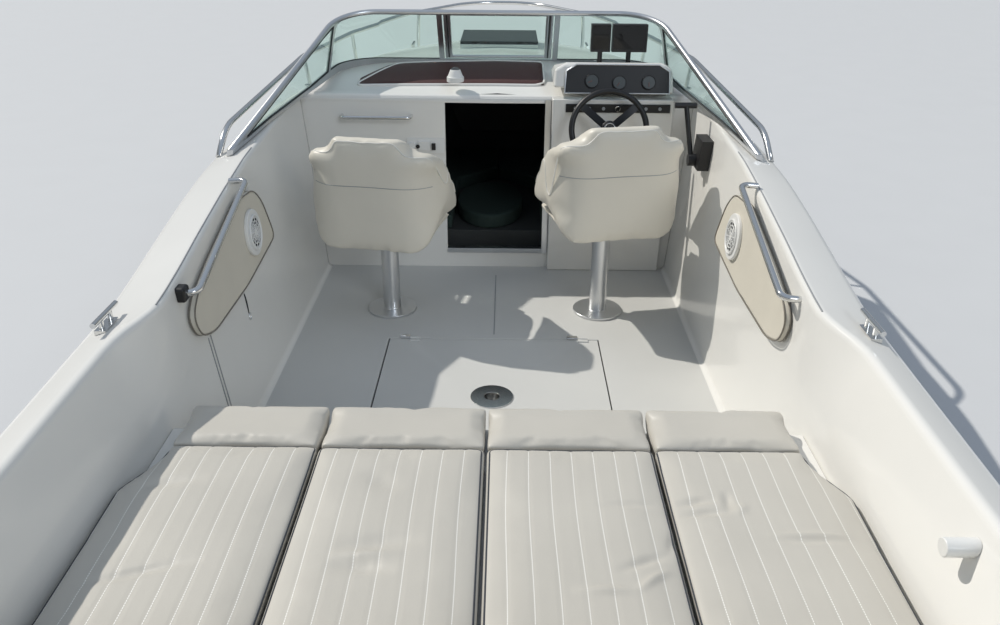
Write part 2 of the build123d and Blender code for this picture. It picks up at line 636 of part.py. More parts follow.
def wing_pane():
    """The starboard side pane, from the sill's top to the rail, up to the corner bar."""
    front = SCREEN_CORNER_Y - POST / 2 - 2 * SEAT_GAP
    top = [(WING_END_Y, rail_line(WING_END_Y, 14)), (3480, rail_line(3480, 14)), (front, rail_line(front, 22))]
    aft_z = 914 + (WING_END_Y - SCREEN_END_Y) * 40 / 400 + SEAT_GAP
    low = [(front, 1013), (3400, 988 + SEAT_GAP), (2900, 954 + SEAT_GAP), (WING_END_Y, aft_z)]
    return screen_band(4, 4 + GLASS) & across(top + low, 400, 1200)


def make_windscreen():
    glass = screen_trim(screen_band(4, 4 + GLASS), SCREEN_RAIL_R - 2, 18)
    posts = screen_trim(screen_band(0, 16), 4, 0)
    corner = SCREEN_CORNER_Y
    bars = [posts & box(x - POST / 2, x + POST / 2, 3600, 4200, 800, 1500) for x in (-POST_X, POST_X)]
    bars += [posts & box(x - 200, x + 200, corner - POST / 2, corner + POST / 2, 800, 1500) for x in (-800, 800)]
    low = [(SCREEN_END_Y, 860), (3400, 900), (3660, 940), (4200, 960)]
    low += [(4200, 1036), (3960, 1036), (3660, 1016), (3400, 988), (2900, 954), (SCREEN_END_Y, 914)]
    sill = screen_band(-6, 18) & across(low, -1200, 1200)
    end = (screen_x(SCREEN_END_Y + 10, SCREEN_END_Z) - 3, SCREEN_END_Y + 10, SCREEN_END_Z)
    head = (screen_x(SCREEN_RAIL_Y, SCREEN_RAIL_Z) - 3, SCREEN_RAIL_Y, SCREEN_RAIL_Z)
    rail = tube([end, head, (-head[0],) + head[1:], (-end[0],) + end[1:]], SCREEN_RAIL_R, SCREEN_CORNER_R)
    frame = rail - deck_solid
    for piece in bars + [sill]:
        frame = frame + (piece - deck_solid)
    frame = frame.solids().sort_by(SortBy.VOLUME)[-1]
    save("windscreen_frame", frame)
    wing = wing_pane()
    save("glass_wings", wing, port_of(wing))
    glass &= box(-1500, 1500, corner, 4200, 800, 1500)
    panes = (glass - frame).solids().sort_by(SortBy.VOLUME)
    port_corner, centre, corner_pane = sorted(panes[-3:], key=lambda pane: pane.center().X)
    save("glass_corners", port_corner, corner_pane)
    save("glass_centre", centre)


def make_bow_rail():
    start = RAIL_POINTS[0]
    points = [(start[0], start[1], deck_z(start[0], start[1]) + SEAT_GAP)] + RAIL_POINTS[1:]
    whole = points + [(-x, y, z) for x, y, z in reversed(points)]
    rail = tube(whole, RAIL_R, 600)
    for x, y, z in RAIL_POINTS[2:]:
        for sign in (-1, 1):
            foot_x = sign * (x - 20)
            foot = deck_z(foot_x, y)
            rail += rod((foot_x, y, foot + 3), (sign * x, y, z), 10)
            rail += rod((foot_x, y, foot + 1), (foot_x, y, foot + 8), 28)
    rail -= deck_solid
    save("bow_rail", rail.solids().sort_by(SortBy.VOLUME)[-1])


def make_side_trim():
    outline = [(2366, 804), (2448, 729), (2524, 553), (2103, 516), (1704, 523), (1600, 560), (1570, 640),
               (1640, 690), (1816, 740), (2182, 820)]
    slab = along([(wall_x(z) - back, z) for z, back in ((450, SEAT_GAP), (900, SEAT_GAP), (900, 25), (450, 25))],
                 1400, 2600)
    panel = slab & across(outline, 800, 1100)
    lean = atan(WALL_LEAN)
    plane = Plane(origin=(wall_x(668) - 25 - SEAT_GAP, 2250, 668), z_dir=(-cos(lean), 0, sin(lean)))
    speaker = extrude(plane * Circle(88), amount=14)
    high, low = (2215, 878), (1580, 722)
    rail = tube([(wall_x(z) - off, y, z + off * WALL_LEAN) for off, (y, z) in
                 ((-4, high), (58, high), (58, low), (-4, low))], 11, 30) - starboard_wall
    y = BULKHEAD_Y - SEAT_GAP
    handle = tube([(-760, y, 845), (-760, y - 50, 845), (-420, y - 50, 845), (-420, y, 845)], 9, 25)
    save("hand_rails", rail, port_of(rail), handle)
    save("pocket_panels", panel, port_of(panel))
    save("speakers", speaker, port_of(speaker))
    face_x = wall_x(KNEE_Z) + (STUB_Z - KNEE_Z) * WELL_ROWS[0][1]
    stub = rod((face_x + 20, STUB_Y, STUB_Z), (face_x - 65, STUB_Y, STUB_Z), 20) - starboard_wall
    save("shower_stub", stub.solids().sort_by(Axis.X)[0])


def cleat(x, y):
    z = deck_z(x, y)
    shape = box(x - 16, x + 16, y - 45, y + 45, z - 30, z + 8)
    for dy in (-28, 28):
        shape += rod((x, y + dy, z), (x, y + dy, z + 34), 8)
    shape += rod((x, y - 75, z + 38), (x, y + 75, z + 38), 8)
    return (shape - deck_solid).solids().sort_by(SortBy.VOLUME)[-1]


def make_deck_gear():
    places = [(1062, 1354), (1040, 240), (560, 4930)]
    save("cleats", *[cleat(sign * x, y) for x, y in places for sign in (-1, 1)])
    eye = tube([(0, 5560, 300), (0, 5760, 300), (0, 5760, 360), (0, 5560, 360)], 7, 20) - hull_solid
    eye = eye.solids().sort_by(SortBy.VOLUME)[-1]
    stern = [tube([(x - 25, 0, 250), (x - 25, -45, 250), (x + 25, -45, 250), (x + 25, 0, 250)], 7, 20)
             for x in (-1000, 1000)]
    save("mooring_eyes", eye, *[Pos(0, -SEAT_GAP, 0) * loop for loop in stern])


def make_cabin():
    slab = box(-1200, 1200, BERTH_AFT_Y, CABIN_END_Y, CABIN_SOLE_Z, BERTH_TOP_Z)
    save("berth_base", cabin & slab)
    cushion = box(-1200, 1200, BERTH_AFT_Y + 10, CABIN_END_Y, BERTH_TOP_Z + SEAT_GAP, BERTH_TOP_Z + BERTH_CUSHION)
    side = (cabin & cushion) & upright([(240, BERTH_AFT_Y), (1200, BERTH_AFT_Y), (1200, CABIN_END_Y),
                                        (3, CABIN_END_Y), (3, 4500), (240, 4250)], 0, 500)
    infill = Pos(-40, 3880, BERTH_TOP_Z + SEAT_GAP) * extrude(Ellipse(INFILL_HALF, 300), amount=BERTH_CUSHION)
    save("berth_cushions", side, port_of(side), infill)


def make_deck_hatch():
    y, half, rim = DECK_HATCH_Y, DECK_HATCH_HALF, DECK_HATCH_RIM
    ring = box(-half, half, y - half, y + half, 900, DECK_HATCH_Z)
    ring -= box(-half + rim, half - rim, y - half + rim, y + half - rim, 800, 1100)
    ring = (ring - deck_solid).solids().sort_by(SortBy.VOLUME)[-1]
    axis_y, z, r = y + half + 8, DECK_HATCH_Z + 8, 6
    top = DECK_HATCH_Z + SEAT_GAP
    lid = box(-half, half, y - half, y + half, top, top + 16)
    for x in (-140, 140):
        ring += rod((x - 30, axis_y, z), (x, axis_y, z), r) + box(x - 30, x, y + half - 1, axis_y, z - 16, z - 8)
        ring += box(x - 30, x, axis_y - 4, axis_y, z - 16, z)
        lid += rod((x + 1, axis_y, z), (x + 31, axis_y, z), r) + box(x + 1, x + 31, y + half - 1, axis_y, z - 4, z + 4)
    save("deck_hatch_frame", ring)
    save("deck_hatch", lid)


def make_platform():
    half, length = PLATFORM_HALF, PLATFORM_LENGTH
    slab = box(-half, half, -length, -SEAT_GAP, PLATFORM_Z - PLATFORM_THICK, PLATFORM_Z)
    slab = fillet(slab.edges().filter_by(Axis.Z).group_by(Axis.Y)[0], 140)
    save("swim_platform", slab)


def make_drive():
    y, z = PIVOT_Y, PIVOT_Z
    shield = box(-140, 140, -30, -SEAT_GAP, -180, 180)
    for dz in (-1, 1):
        shield += box(-30, 30, y - 25, -29, z + dz * 150 - 12, z + dz * 150 + 12)
    save("transom_shield", shield)
    ring = box(-92, 92, y - 20, y + 20, z - 130, z + 130) - box(-70, 70, y - 30, y + 30, z - 105, z + 105)
    ring += rod((0, y, z + 129), (0, y, z + 137.7), 18) + rod((0, y, z - 129), (0, y, z - 137.7), 18)
    save("gimbal_ring", ring)
    housing = across([(y + 20, z - 45), (y + 20, z + 40), (y - 250, z + 50), (y - 290, z + 20), (y - 290, z - 90),
                      (y - 150, z - 120), (y - 60, z - 60)], -62, 62)
    housing += rod((-69.7, y, z), (69.7, y, z), 16)
    leg = across([(y - 150, z - 100), (y - 290, z - 60), (y - 400, -340), (y - 470, PROP_Z), (y - 230, PROP_Z),
                  (y - 215, -330)], -28, 28)
    plate = upright([(-60, -300), (60, -300), (110, -560), (90, -720), (-90, -720), (-110, -560)], -348, -338)
    case = rod((0, -300, PROP_Z), (0, -600, PROP_Z), 48) + Pos(0, -300, PROP_Z) * Sphere(48)
    skeg = across([(-330, PROP_Z), (-560, PROP_Z), (-540, PROP_Z - 190), (-480, PROP_Z - 200)], -8, 8)
    save("drive_leg", housing + leg + plate + case + skeg)
    hub = rod((0, -600.3, PROP_Z), (0, -700, PROP_Z), 42)
    prop = hub
    for turn in (0, 120, 240):
        petal = Pos(0, 0, 105) * Rot(0, 0, 28) * extrude(Plane.YZ.offset(-4) * Ellipse(45, 70), amount=8)
        prop += Pos(0, PROP_Y - 8, PROP_Z) * Rot(0, turn, 0) * petal
    save("propeller", prop)


make_hull()
make_deck()
make_rub_rail()
make_floor()
starboard_wall = make_walls()
make_bulkhead()
make_door()
make_helm()
make_dash()
make_seats()
make_sun_pad()
make_floor_hatch()
make_windscreen()
make_bow_rail()
make_side_trim()
make_deck_gear()
make_cabin()
make_deck_hatch()
make_platform()
make_drive()
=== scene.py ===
import json
import math

import bmesh
import bpy
from mathutils import Matrix, Vector
from mathutils.bvhtree import BVHTree


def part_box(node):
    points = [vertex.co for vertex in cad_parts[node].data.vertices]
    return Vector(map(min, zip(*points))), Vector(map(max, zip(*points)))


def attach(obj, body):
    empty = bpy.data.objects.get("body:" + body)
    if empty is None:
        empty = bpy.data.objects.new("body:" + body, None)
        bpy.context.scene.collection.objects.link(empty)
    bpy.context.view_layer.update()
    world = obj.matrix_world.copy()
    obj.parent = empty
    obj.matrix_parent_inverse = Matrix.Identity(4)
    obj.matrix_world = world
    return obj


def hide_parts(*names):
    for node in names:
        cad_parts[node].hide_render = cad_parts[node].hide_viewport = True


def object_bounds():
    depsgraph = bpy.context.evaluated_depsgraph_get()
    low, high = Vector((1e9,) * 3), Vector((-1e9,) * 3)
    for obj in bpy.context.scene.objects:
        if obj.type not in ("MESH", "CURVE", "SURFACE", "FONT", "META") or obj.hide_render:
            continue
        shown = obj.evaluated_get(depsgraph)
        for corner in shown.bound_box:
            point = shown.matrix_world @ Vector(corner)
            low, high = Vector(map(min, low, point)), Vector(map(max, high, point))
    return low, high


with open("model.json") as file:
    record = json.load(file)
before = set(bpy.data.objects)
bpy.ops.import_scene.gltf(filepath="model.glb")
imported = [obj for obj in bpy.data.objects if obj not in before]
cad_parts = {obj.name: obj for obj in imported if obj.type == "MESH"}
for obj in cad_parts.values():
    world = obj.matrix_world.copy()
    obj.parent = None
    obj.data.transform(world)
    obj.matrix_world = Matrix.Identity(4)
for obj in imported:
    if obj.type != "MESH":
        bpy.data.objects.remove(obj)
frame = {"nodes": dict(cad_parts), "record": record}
nodes = frame["nodes"]
cadLow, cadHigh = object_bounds()
bodyOf = {}
for bodyName, members in frame["record"]["behaviour"]["bodies"].items():
    for member in members:
        bodyOf[member] = bodyName
print("frame loaded,", len(nodes), "nodes")


# small helpers


def addObject(name, data, material=None):
    obj = bpy.data.objects.new(name, data)
    bpy.context.scene.collection.objects.link(obj)
    if material and not data.materials:
        data.materials.append(material)
    return obj


def meshOf(name, bm):
    mesh = bpy.data.meshes.new(name)
    bm.to_mesh(mesh)
    bm.free()
    return mesh


def bmeshOf(mesh):
    bm = bmesh.new()
    bm.from_mesh(mesh)
    return bm


# What rays meet of a mesh.
def treeOf(mesh):
    return BVHTree.FromBMesh(bmeshOf(mesh))


# Where a ray meets a tree, or None.
def onSurface(tree, origin, direction):
    return tree.ray_cast(Vector(origin), Vector(direction))[0]


# Where rays from the origins meet a tree, without those that miss it.
def hitsOf(tree, origins, direction):
    hits = [onSurface(tree, origin, direction) for origin in origins]
    return [hit for hit in hits if hit]


# The turn that brings +Z to an axis.
def turnTo(axis):
    return Vector((0, 0, 1)).rotation_difference(Vector(axis).normalized()).to_matrix()


def makeObject(name, bm, material, smoothAngle=35):
    bmesh.ops.recalc_face_normals(bm, faces=bm.faces)
    mesh = meshOf(name, bm)
    shade(mesh, smoothAngle)
    return addObject(name, mesh, material)


def shade(mesh, smoothAngle):
    mesh.polygons.foreach_set("use_smooth", [True] * len(mesh.polygons))
    mesh.set_sharp_from_angle(angle=math.radians(smoothAngle))
    mesh.update()


def settle(obj, body, stands=()):
    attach(obj, body)
    if stands:
        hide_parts(*stands)
    return obj


# The piece with its modifiers made part of its mesh.
def applyModifiers(obj):
    mesh = evaluatedMesh(obj)
    obj.modifiers.clear()
    obj.data = mesh
    return obj


def addBevel(obj, width, segments=3, angle=30):
    bevel = obj.modifiers.new("bevel", "BEVEL")
    bevel.width = width
    bevel.segments = segments
    bevel.limit_method = "ANGLE"
    bevel.angle_limit = math.radians(angle)
    bevel.harden_normals = True
    return obj


# The piece with one level of subdivision made part of its mesh.
def subdivided(obj):
    sub = obj.modifiers.new("subdivision", "SUBSURF")
    sub.levels = 1
    sub.render_levels = 1
    return applyModifiers(obj)


def addWall(obj, thickness, offset):
    wall = obj.modifiers.new("wall", "SOLIDIFY")
    wall.thickness = thickness
    wall.offset = offset
    return obj


# A merged copy of a CAD node's mesh, with its flat faces whole again.
def cadCopy(nodeName):
    bm = bmeshOf(nodes[nodeName].data)
    bmesh.ops.remove_doubles(bm, verts=bm.verts, dist=1e-5)
    bmesh.ops.dissolve_limit(bm, angle_limit=math.radians(0.4), verts=bm.verts, edges=bm.edges)
    return bm


# A rounded, smooth piece in the place of one CAD node.
def dress(nodeName, material, bevelWidth=0.0, segments=2, smoothAngle=35, name=None):
    obj = makeObject(name or nodeName + "_piece", cadCopy(nodeName), material, smoothAngle)
    if bevelWidth:
        addBevel(obj, bevelWidth, segments)
    return settle(obj, bodyOf[nodeName], [nodeName])


# A round bar or thread through the points.
def tubeAlong(name, points, radius, material, cyclic=False, sides=6, smooth=True):
    curve = bpy.data.curves.new(name, "CURVE")
    curve.dimensions = "3D"
    curve.bevel_depth = radius
    curve.bevel_resolution = sides
    curve.resolution_u = 4
    curve.use_fill_caps = True
    spline = curve.splines.new("NURBS" if smooth else "POLY")
    spline.points.add(len(points) - 1)
    for point, place in zip(spline.points, points):
        point.co = (*place, 1)
    spline.use_cyclic_u = cyclic
    if smooth:
        spline.order_u = 3
        spline.use_endpoint_u = not cyclic
    return addObject(name, curve, material)


def evaluatedMesh(obj):
    graph = bpy.context.evaluated_depsgraph_get()
    return bpy.data.meshes.new_from_object(obj.evaluated_get(graph))


# A tube's object, with its curve made a mesh.
def asMesh(obj):
    made = addObject(obj.name + "_mesh", evaluatedMesh(obj))
    oldName = obj.name
    bpy.data.objects.remove(obj)
    made.name = oldName
    return made


# Several meshes and tubes as one piece, with all their materials.
def joined(name, objects):
    bm = bmesh.new()
    materials = []
    for obj in objects:
        part = obj if obj.type == "MESH" else asMesh(obj)
        applyModifiers(part)
        mesh = part.data
        mesh.transform(part.matrix_world)
        slots = []
        for material in mesh.materials:
            if material not in materials:
                materials.append(material)
            slots.append(materials.index(material))
        for polygon in mesh.polygons:
            polygon.material_index = slots[polygon.material_index] if slots else 0
        bm.from_mesh(mesh)
        bpy.data.objects.remove(part)
    mesh = meshOf(name, bm)
    for material in materials:
        mesh.materials.append(material)
    return addObject(name, mesh)


# A line whose inner corners are arcs, each with the same number of points.
def roundedLine(points, radii, steps):
    points = [Vector(p) for p in points]
    line = [points[0]]
    for i in range(1, len(points) - 1):
        before, corner, after = points[i - 1], points[i], points[i + 1]
        toBefore, toAfter = (before - corner), (after - corner)
        reach = min(radii[i - 1], 0.45 * toBefore.length, 0.45 * toAfter.length)
        a = corner + toBefore.normalized() * reach
        b = corner + toAfter.normalized() * reach
        for k in range(steps + 1):
            t = k / steps
            line.append(a * (1 - t) ** 2 + corner * 2 * t * (1 - t) + b * t * t)
    return line + [points[-1]]


# A bmesh surface bridged between rows of points.
def stripOf(rows):
    bm = bmesh.new()
    before = None
    for row in rows:
        verts = [bm.verts.new(p) for p in row]
        edges = [bm.edges.new((a, b)) for a, b in zip(verts, verts[1:])]
        if before:
            bmesh.ops.bridge_loops(bm, edges=before + edges)
        before = edges
    return bm


# materials


def addNode(tree, kind, **values):
    node = tree.nodes.new(kind)
    for key, value in values.items():
        setattr(node, key, value)
    return node


# The output of one Math node; a and b are numbers or sockets.
def mathNode(tree, operation, a, b=None):
    node = addNode(tree, "ShaderNodeMath", operation=operation)
    for socket, value in zip(node.inputs, (a, b)):
        if value is None:
            continue
        if isinstance(value, (int, float)):
            socket.default_value = value
        else:
            tree.links.new(value, socket)
    return node.outputs[0]


def makeGroup(name, inputs, outputs):
    group = bpy.data.node_groups.new(name, "ShaderNodeTree")
    for label, kind, value in inputs:
        socket = group.interface.new_socket(name=label, in_out="INPUT", socket_type=kind)
        if value is not None:
            socket.default_value = value
    for label, kind in outputs:
        group.interface.new_socket(name=label, in_out="OUTPUT", socket_type=kind)
    return group, addNode(group, "NodeGroupInput"), addNode(group, "NodeGroupOutput")


# Fine grain as bump, and a slow mottling of the colour.
def makeWearGroup():
    group, given, result = makeGroup(
        "wear",
        [("Grain", "NodeSocketFloat", 300.0), ("Depth", "NodeSocketFloat", 0.1), ("Mottle", "NodeSocketFloat", 3.0)],
        [("Shade", "NodeSocketFloat"), ("Normal", "NodeSocketVector")],
    )
    place = addNode(group, "ShaderNodeTexCoord")
    fine = addNode(group, "ShaderNodeTexNoise")
    slow = addNode(group, "ShaderNodeTexNoise")
    fine.inputs["Detail"].default_value = 4
    slow.inputs["Detail"].default_value = 5
    bump = addNode(group, "ShaderNodeBump")
    bump.inputs["Distance"].default_value = 0.001
    group.links.new(place.outputs["Object"], fine.inputs["Vector"])
    group.links.new(place.outputs["Object"], slow.inputs["Vector"])
    group.links.new(given.outputs["Grain"], fine.inputs["Scale"])
    group.links.new(given.outputs["Mottle"], slow.inputs["Scale"])
    group.links.new(given.outputs["Depth"], bump.inputs["Strength"])
    group.links.new(fine.outputs["Fac"], bump.inputs["Height"])
    group.links.new(slow.outputs["Fac"], result.inputs["Shade"])
    group.links.new(bump.outputs["Normal"], result.inputs["Normal"])
    return group


wearGroup = makeWearGroup()


# A principled material with the shared wear; returns (material, shader, its tint).
def surface(name, colour, roughness, metallic=0.0, grain=300.0, depth=0.05, mottle=3.0, tone=0.05, coat=0.0,
            sheen=0.0):
    material = bpy.data.materials.new(name)
    material.use_nodes = True
    tree = material.node_tree
    shader = tree.nodes["Principled BSDF"]
    wear = addNode(tree, "ShaderNodeGroup", node_tree=wearGroup)
    wear.inputs["Grain"].default_value = grain
    wear.inputs["Depth"].default_value = depth
    wear.inputs["Mottle"].default_value = mottle
    tint = addNode(tree, "ShaderNodeMix", data_type="RGBA")
    tree.links.new(wear.outputs["Shade"], tint.inputs["Factor"])
    tint.inputs["A"].default_value = (*[c * (1 - tone) for c in colour], 1)
    tint.inputs["B"].default_value = (*[min(1, c * (1 + tone)) for c in colour], 1)
    tree.links.new(tint.outputs["Result"], shader.inputs["Base Color"])
    tree.links.new(wear.outputs["Normal"], shader.inputs["Normal"])
    rough = addNode(tree, "ShaderNodeMapRange")
    rough.inputs["To Min"].default_value = max(0.02, roughness - 0.06)
    rough.inputs["To Max"].default_value = min(1, roughness + 0.06)
    tree.links.new(wear.outputs["Shade"], rough.inputs["Value"])
    tree.links.new(rough.outputs["Result"], shader.inputs["Roughness"])
    shader.inputs["Metallic"].default_value = metallic
    shader.inputs["Coat Weight"].default_value = coat
    shader.inputs["Sheen Weight"].default_value = sheen
    return material, shader, tint


# Lays a second colour over the tint where the mask is 1.
def overlay(material, shader, tint, mask, colour):
    tree = material.node_tree
    mix = addNode(tree, "ShaderNodeMix", data_type="RGBA")
    tree.links.new(mask, mix.inputs["Factor"])
    tree.links.new(tint.outputs["Result"], mix.inputs["A"])
    mix.inputs["B"].default_value = (*colour, 1)
    tree.links.new(mix.outputs["Result"], shader.inputs["Base Color"])


# The x, y and z of a point's place in the part's frame.
def placeOf(tree):
    place = addNode(tree, "ShaderNodeTexCoord")
    split = addNode(tree, "ShaderNodeSeparateXYZ")
    tree.links.new(place.outputs["Object"], split.inputs[0])
    return split.outputs


stitchSizes = {
    "spacing": 0.056, "thread": 0.0011, "sway": 0.0025, "swayRate": 9.0, "perMetre": 150.0, "share": 0.75,
    "bolster": 0.225, "depth": 0.03,
}


# Distance across from the nearest stitched line, in metres.
def stitchPlace(x, y):
    along = (x + stitchSizes["sway"] * math.sin(stitchSizes["swayRate"] * y)) / stitchSizes["spacing"]
    return abs(along - round(along)) * stitchSizes["spacing"]


def makePadVinyl():
    material, shader, tint = surface("padVinyl", (0.545, 0.52, 0.465), 0.46, grain=1500, depth=0.12, mottle=5,
                                     tone=0.07, sheen=0.1)
    tree = material.node_tree
    x, y, z = placeOf(tree)
    sway = mathNode(tree, "MULTIPLY", mathNode(tree, "SINE", mathNode(tree, "MULTIPLY", y, stitchSizes["swayRate"])),
                    stitchSizes["sway"])
    along = mathNode(tree, "DIVIDE", mathNode(tree, "ADD", x, sway), stitchSizes["spacing"])
    off = mathNode(tree, "ABSOLUTE", mathNode(tree, "SUBTRACT", along, mathNode(tree, "ROUND", along)))
    line = mathNode(tree, "LESS_THAN", off, stitchSizes["thread"] / stitchSizes["spacing"])
    stitches = mathNode(tree, "FRACT", mathNode(tree, "MULTIPLY", y, stitchSizes["perMetre"]))
    dash = mathNode(tree, "LESS_THAN", stitches, stitchSizes["share"])
    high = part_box("sun_pads_centre")[1]
    sewn = mathNode(tree, "LESS_THAN", y, high.y - stitchSizes["bolster"])
    onTop = mathNode(tree, "GREATER_THAN", z, high.z - stitchSizes["depth"])
    mask = mathNode(tree, "MULTIPLY", mathNode(tree, "MULTIPLY", line, dash), mathNode(tree, "MULTIPLY", sewn, onTop))
    overlay(material, shader, tint, mask, (0.86, 0.85, 0.80))
    return material


hullSizes = {"whiteTo": 0.12, "wall": 0.005, "chine": 0.012, "step": 0.07, "hidden": 0.025}


# Navy topsides over a white bottom, parted at a level line.
def makeHullPaint():
    material, shader, tint = surface("hullPaint", (0.022, 0.045, 0.13), 0.16, grain=60, depth=0.01, tone=0.1, coat=0.6)
    tree = material.node_tree
    z = placeOf(tree)[2]
    low = mathNode(tree, "LESS_THAN", z, hullSizes["whiteTo"])
    overlay(material, shader, tint, low, (0.78, 0.77, 0.73))
    return material


# Clear or tinted glass, with a trace of the shared mottling in its colour.
def makeGlass(name, colour, roughness=0.0, ior=1.45, coat=0.0):
    material = bpy.data.materials.new(name)
    material.use_nodes = True
    tree = material.node_tree
    shader = tree.nodes["Principled BSDF"]
    shader.inputs["Transmission Weight"].default_value = 1
    shader.inputs["IOR"].default_value = ior
    shader.inputs["Coat Weight"].default_value = coat
    shader.inputs["Roughness"].default_value = roughness
    wear = addNode(tree, "ShaderNodeGroup", node_tree=wearGroup)
    tint = addNode(tree, "ShaderNodeMix", data_type="RGBA")
    tree.links.new(wear.outputs["Shade"], tint.inputs["Factor"])
    tint.inputs["A"].default_value = (*colour, 1)
    tint.inputs["B"].default_value = (*[min(1, c * 1.03) for c in colour], 1)
    tree.links.new(tint.outputs["Result"], shader.inputs["Base Color"])
    return material


dialSizes = {
    "marks": 24.0, "markShare": 0.22, "inner": 0.35, "outer": 0.43, "bezel": 0.0022, "needle": 0.0009,
    "needleShare": 0.6, "firstTurn": 200, "turnStep": 35,
}


# A dark gauge face with a ring of pale marks, about the middle that a piece's UV map has at 0.5, 0.5.
def makeDial():
    material, shader, tint = surface("dialFace", (0.045, 0.055, 0.055), 0.3, coat=0.6)
    tree = material.node_tree
    uv = addNode(tree, "ShaderNodeUVMap")
    split = addNode(tree, "ShaderNodeSeparateXYZ")
    tree.links.new(uv.outputs["UV"], split.inputs[0])
    across = mathNode(tree, "SUBTRACT", split.outputs[0], 0.5)
    up = mathNode(tree, "SUBTRACT", split.outputs[1], 0.5)
    radius = mathNode(tree, "SQRT", mathNode(tree, "ADD", mathNode(tree, "MULTIPLY", across, across),
                                             mathNode(tree, "MULTIPLY", up, up)))
    turn = mathNode(tree, "DIVIDE", mathNode(tree, "ARCTAN2", up, across), math.tau)
    step = mathNode(tree, "FRACT", mathNode(tree, "MULTIPLY", turn, dialSizes["marks"]))
    marks = mathNode(tree, "LESS_THAN", step, dialSizes["markShare"])
    ring = mathNode(tree, "MULTIPLY", mathNode(tree, "GREATER_THAN", radius, dialSizes["inner"]),
                    mathNode(tree, "LESS_THAN", radius, dialSizes["outer"]))
    mask = mathNode(tree, "MULTIPLY", marks, ring)
    overlay(material, shader, tint, mask, (0.30, 0.33, 0.33))
    return material


gelcoat = surface("gelcoat", (0.80, 0.79, 0.755), 0.2, grain=45, depth=0.012, tone=0.03, coat=0.35)[0]
nonSlip = surface("nonSlip", (0.585, 0.585, 0.565), 0.62, grain=260, depth=0.35, mottle=2.5, tone=0.06)[0]
hullPaint = makeHullPaint()
padVinyl = makePadVinyl()
seatVinyl = surface("seatVinyl", (0.70, 0.66, 0.57), 0.42, grain=1100, depth=0.15, mottle=6, tone=0.05, sheen=0.1)[0]
panelVinyl = surface("panelVinyl", (0.66, 0.62, 0.53), 0.5, grain=1100, depth=0.15, mottle=8, tone=0.06)[0]
# near-black piping round the pads: partly real piping, partly painted shade of the dark gaps between pads
darkGapShadePiping = surface("darkGapShadePiping", (0.035, 0.04, 0.05), 0.45, grain=900, depth=0.1)[0]
brownPiping = surface("brownPiping", (0.20, 0.18, 0.15), 0.45, grain=900, depth=0.1)[0]
# pale piping round the seat rims: partly real piping, partly painted highlight, paler than the seat vinyl
highlightPalePiping = surface("highlightPalePiping", (0.74, 0.72, 0.66), 0.4, grain=900, depth=0.1)[0]
stainless = surface("stainless", (0.72, 0.72, 0.71), 0.16, metallic=1, grain=500, depth=0.02, tone=0.04)[0]
aluminium = surface("aluminium", (0.68, 0.69, 0.70), 0.32, metallic=1, grain=700, depth=0.05, tone=0.05)[0]
rubber = surface("rubber", (0.03, 0.032, 0.034), 0.6, grain=800, depth=0.15, tone=0.15)[0]
railGrey = surface("railGrey", (0.30, 0.31, 0.32), 0.5, grain=500, depth=0.1, tone=0.08)[0]
blackPlastic = surface("blackPlastic", (0.010, 0.010, 0.011), 0.42, grain=900, depth=0.1, tone=0.1)[0]
whitePlastic = surface("whitePlastic", (0.78, 0.78, 0.76), 0.3, grain=300, depth=0.03, tone=0.03)[0]
burgundy = surface("burgundy", (0.060, 0.018, 0.016), 0.55, grain=900, depth=0.4, tone=0.25)[0]
cabinCloth = surface("cabinCloth", (0.028, 0.050, 0.044), 0.85, grain=1300, depth=0.5, mottle=9, tone=0.2)[0]
cabinLiner = surface("cabinLiner", (0.05, 0.055, 0.055), 0.8, grain=500, depth=0.4, tone=0.1)[0]
screenGlass = makeGlass("screenGlass", (0.74, 0.90, 0.84), ior=1.03, coat=0.8)
smoked = makeGlass("smoked", (0.10, 0.11, 0.12), 0.02)
enginePaint = surface("enginePaint", (0.16, 0.17, 0.18), 0.45, grain=80, depth=0.2, tone=0.1)[0]
drivePaint = surface("drivePaint", (0.09, 0.095, 0.10), 0.3, grain=250, depth=0.05, tone=0.08, coat=0.3)[0]
chrome = surface("chrome", (0.82, 0.83, 0.84), 0.06, metallic=1, depth=0.0, tone=0.02)[0]
dialFace = makeDial()
redPlastic = surface("redPlastic", (0.24, 0.055, 0.035), 0.35, grain=300, depth=0.05)[0]
print("materials made")


# the white moulding: gunwales, cockpit walls and foredeck in one skin

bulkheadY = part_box("cabin_bulkhead")[0].y
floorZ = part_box("cockpit_floor")[1].z
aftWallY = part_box("cockpit_aft_wall")[0].y + 0.03
kneeSizes = 0.50
mouldSizes = {
    "skin": 0.006, "edge": 0.024, "top": 0.026, "knee": 0.10, "foot": 0.035, "flange": 0.05, "step": 0.05,
    "hatchLap": 0.02, "crownHalf": 0.985,
}


# The deck's rail, edge, ridge and crown at each of its frames, from the CAD deck's own points.
def stationRows():
    frames = sorted({round(v.co.y, 4) for v in nodes["rub_rail"].data.vertices})
    rows = []
    for y in frames:
        near = [v.co for v in nodes["deck"].data.vertices if abs(v.co.y - y) < 5e-4 and v.co.x > -1e-5]
        rail = max(near, key=lambda p: p.x)
        edge = max(near, key=lambda p: p.x + p.z)
        ridge = max(near, key=lambda p: 0.25 * p.x + p.z)
        crown = max(near, key=lambda p: p.z - 4 * abs(p.x))
        rows.append((y, [rail.x, rail.z, edge.x, edge.z, ridge.x, ridge.z, crown.z]))
    return rows


deckRows = stationRows()
wallTree = treeOf(nodes["cockpit_sides"].data)


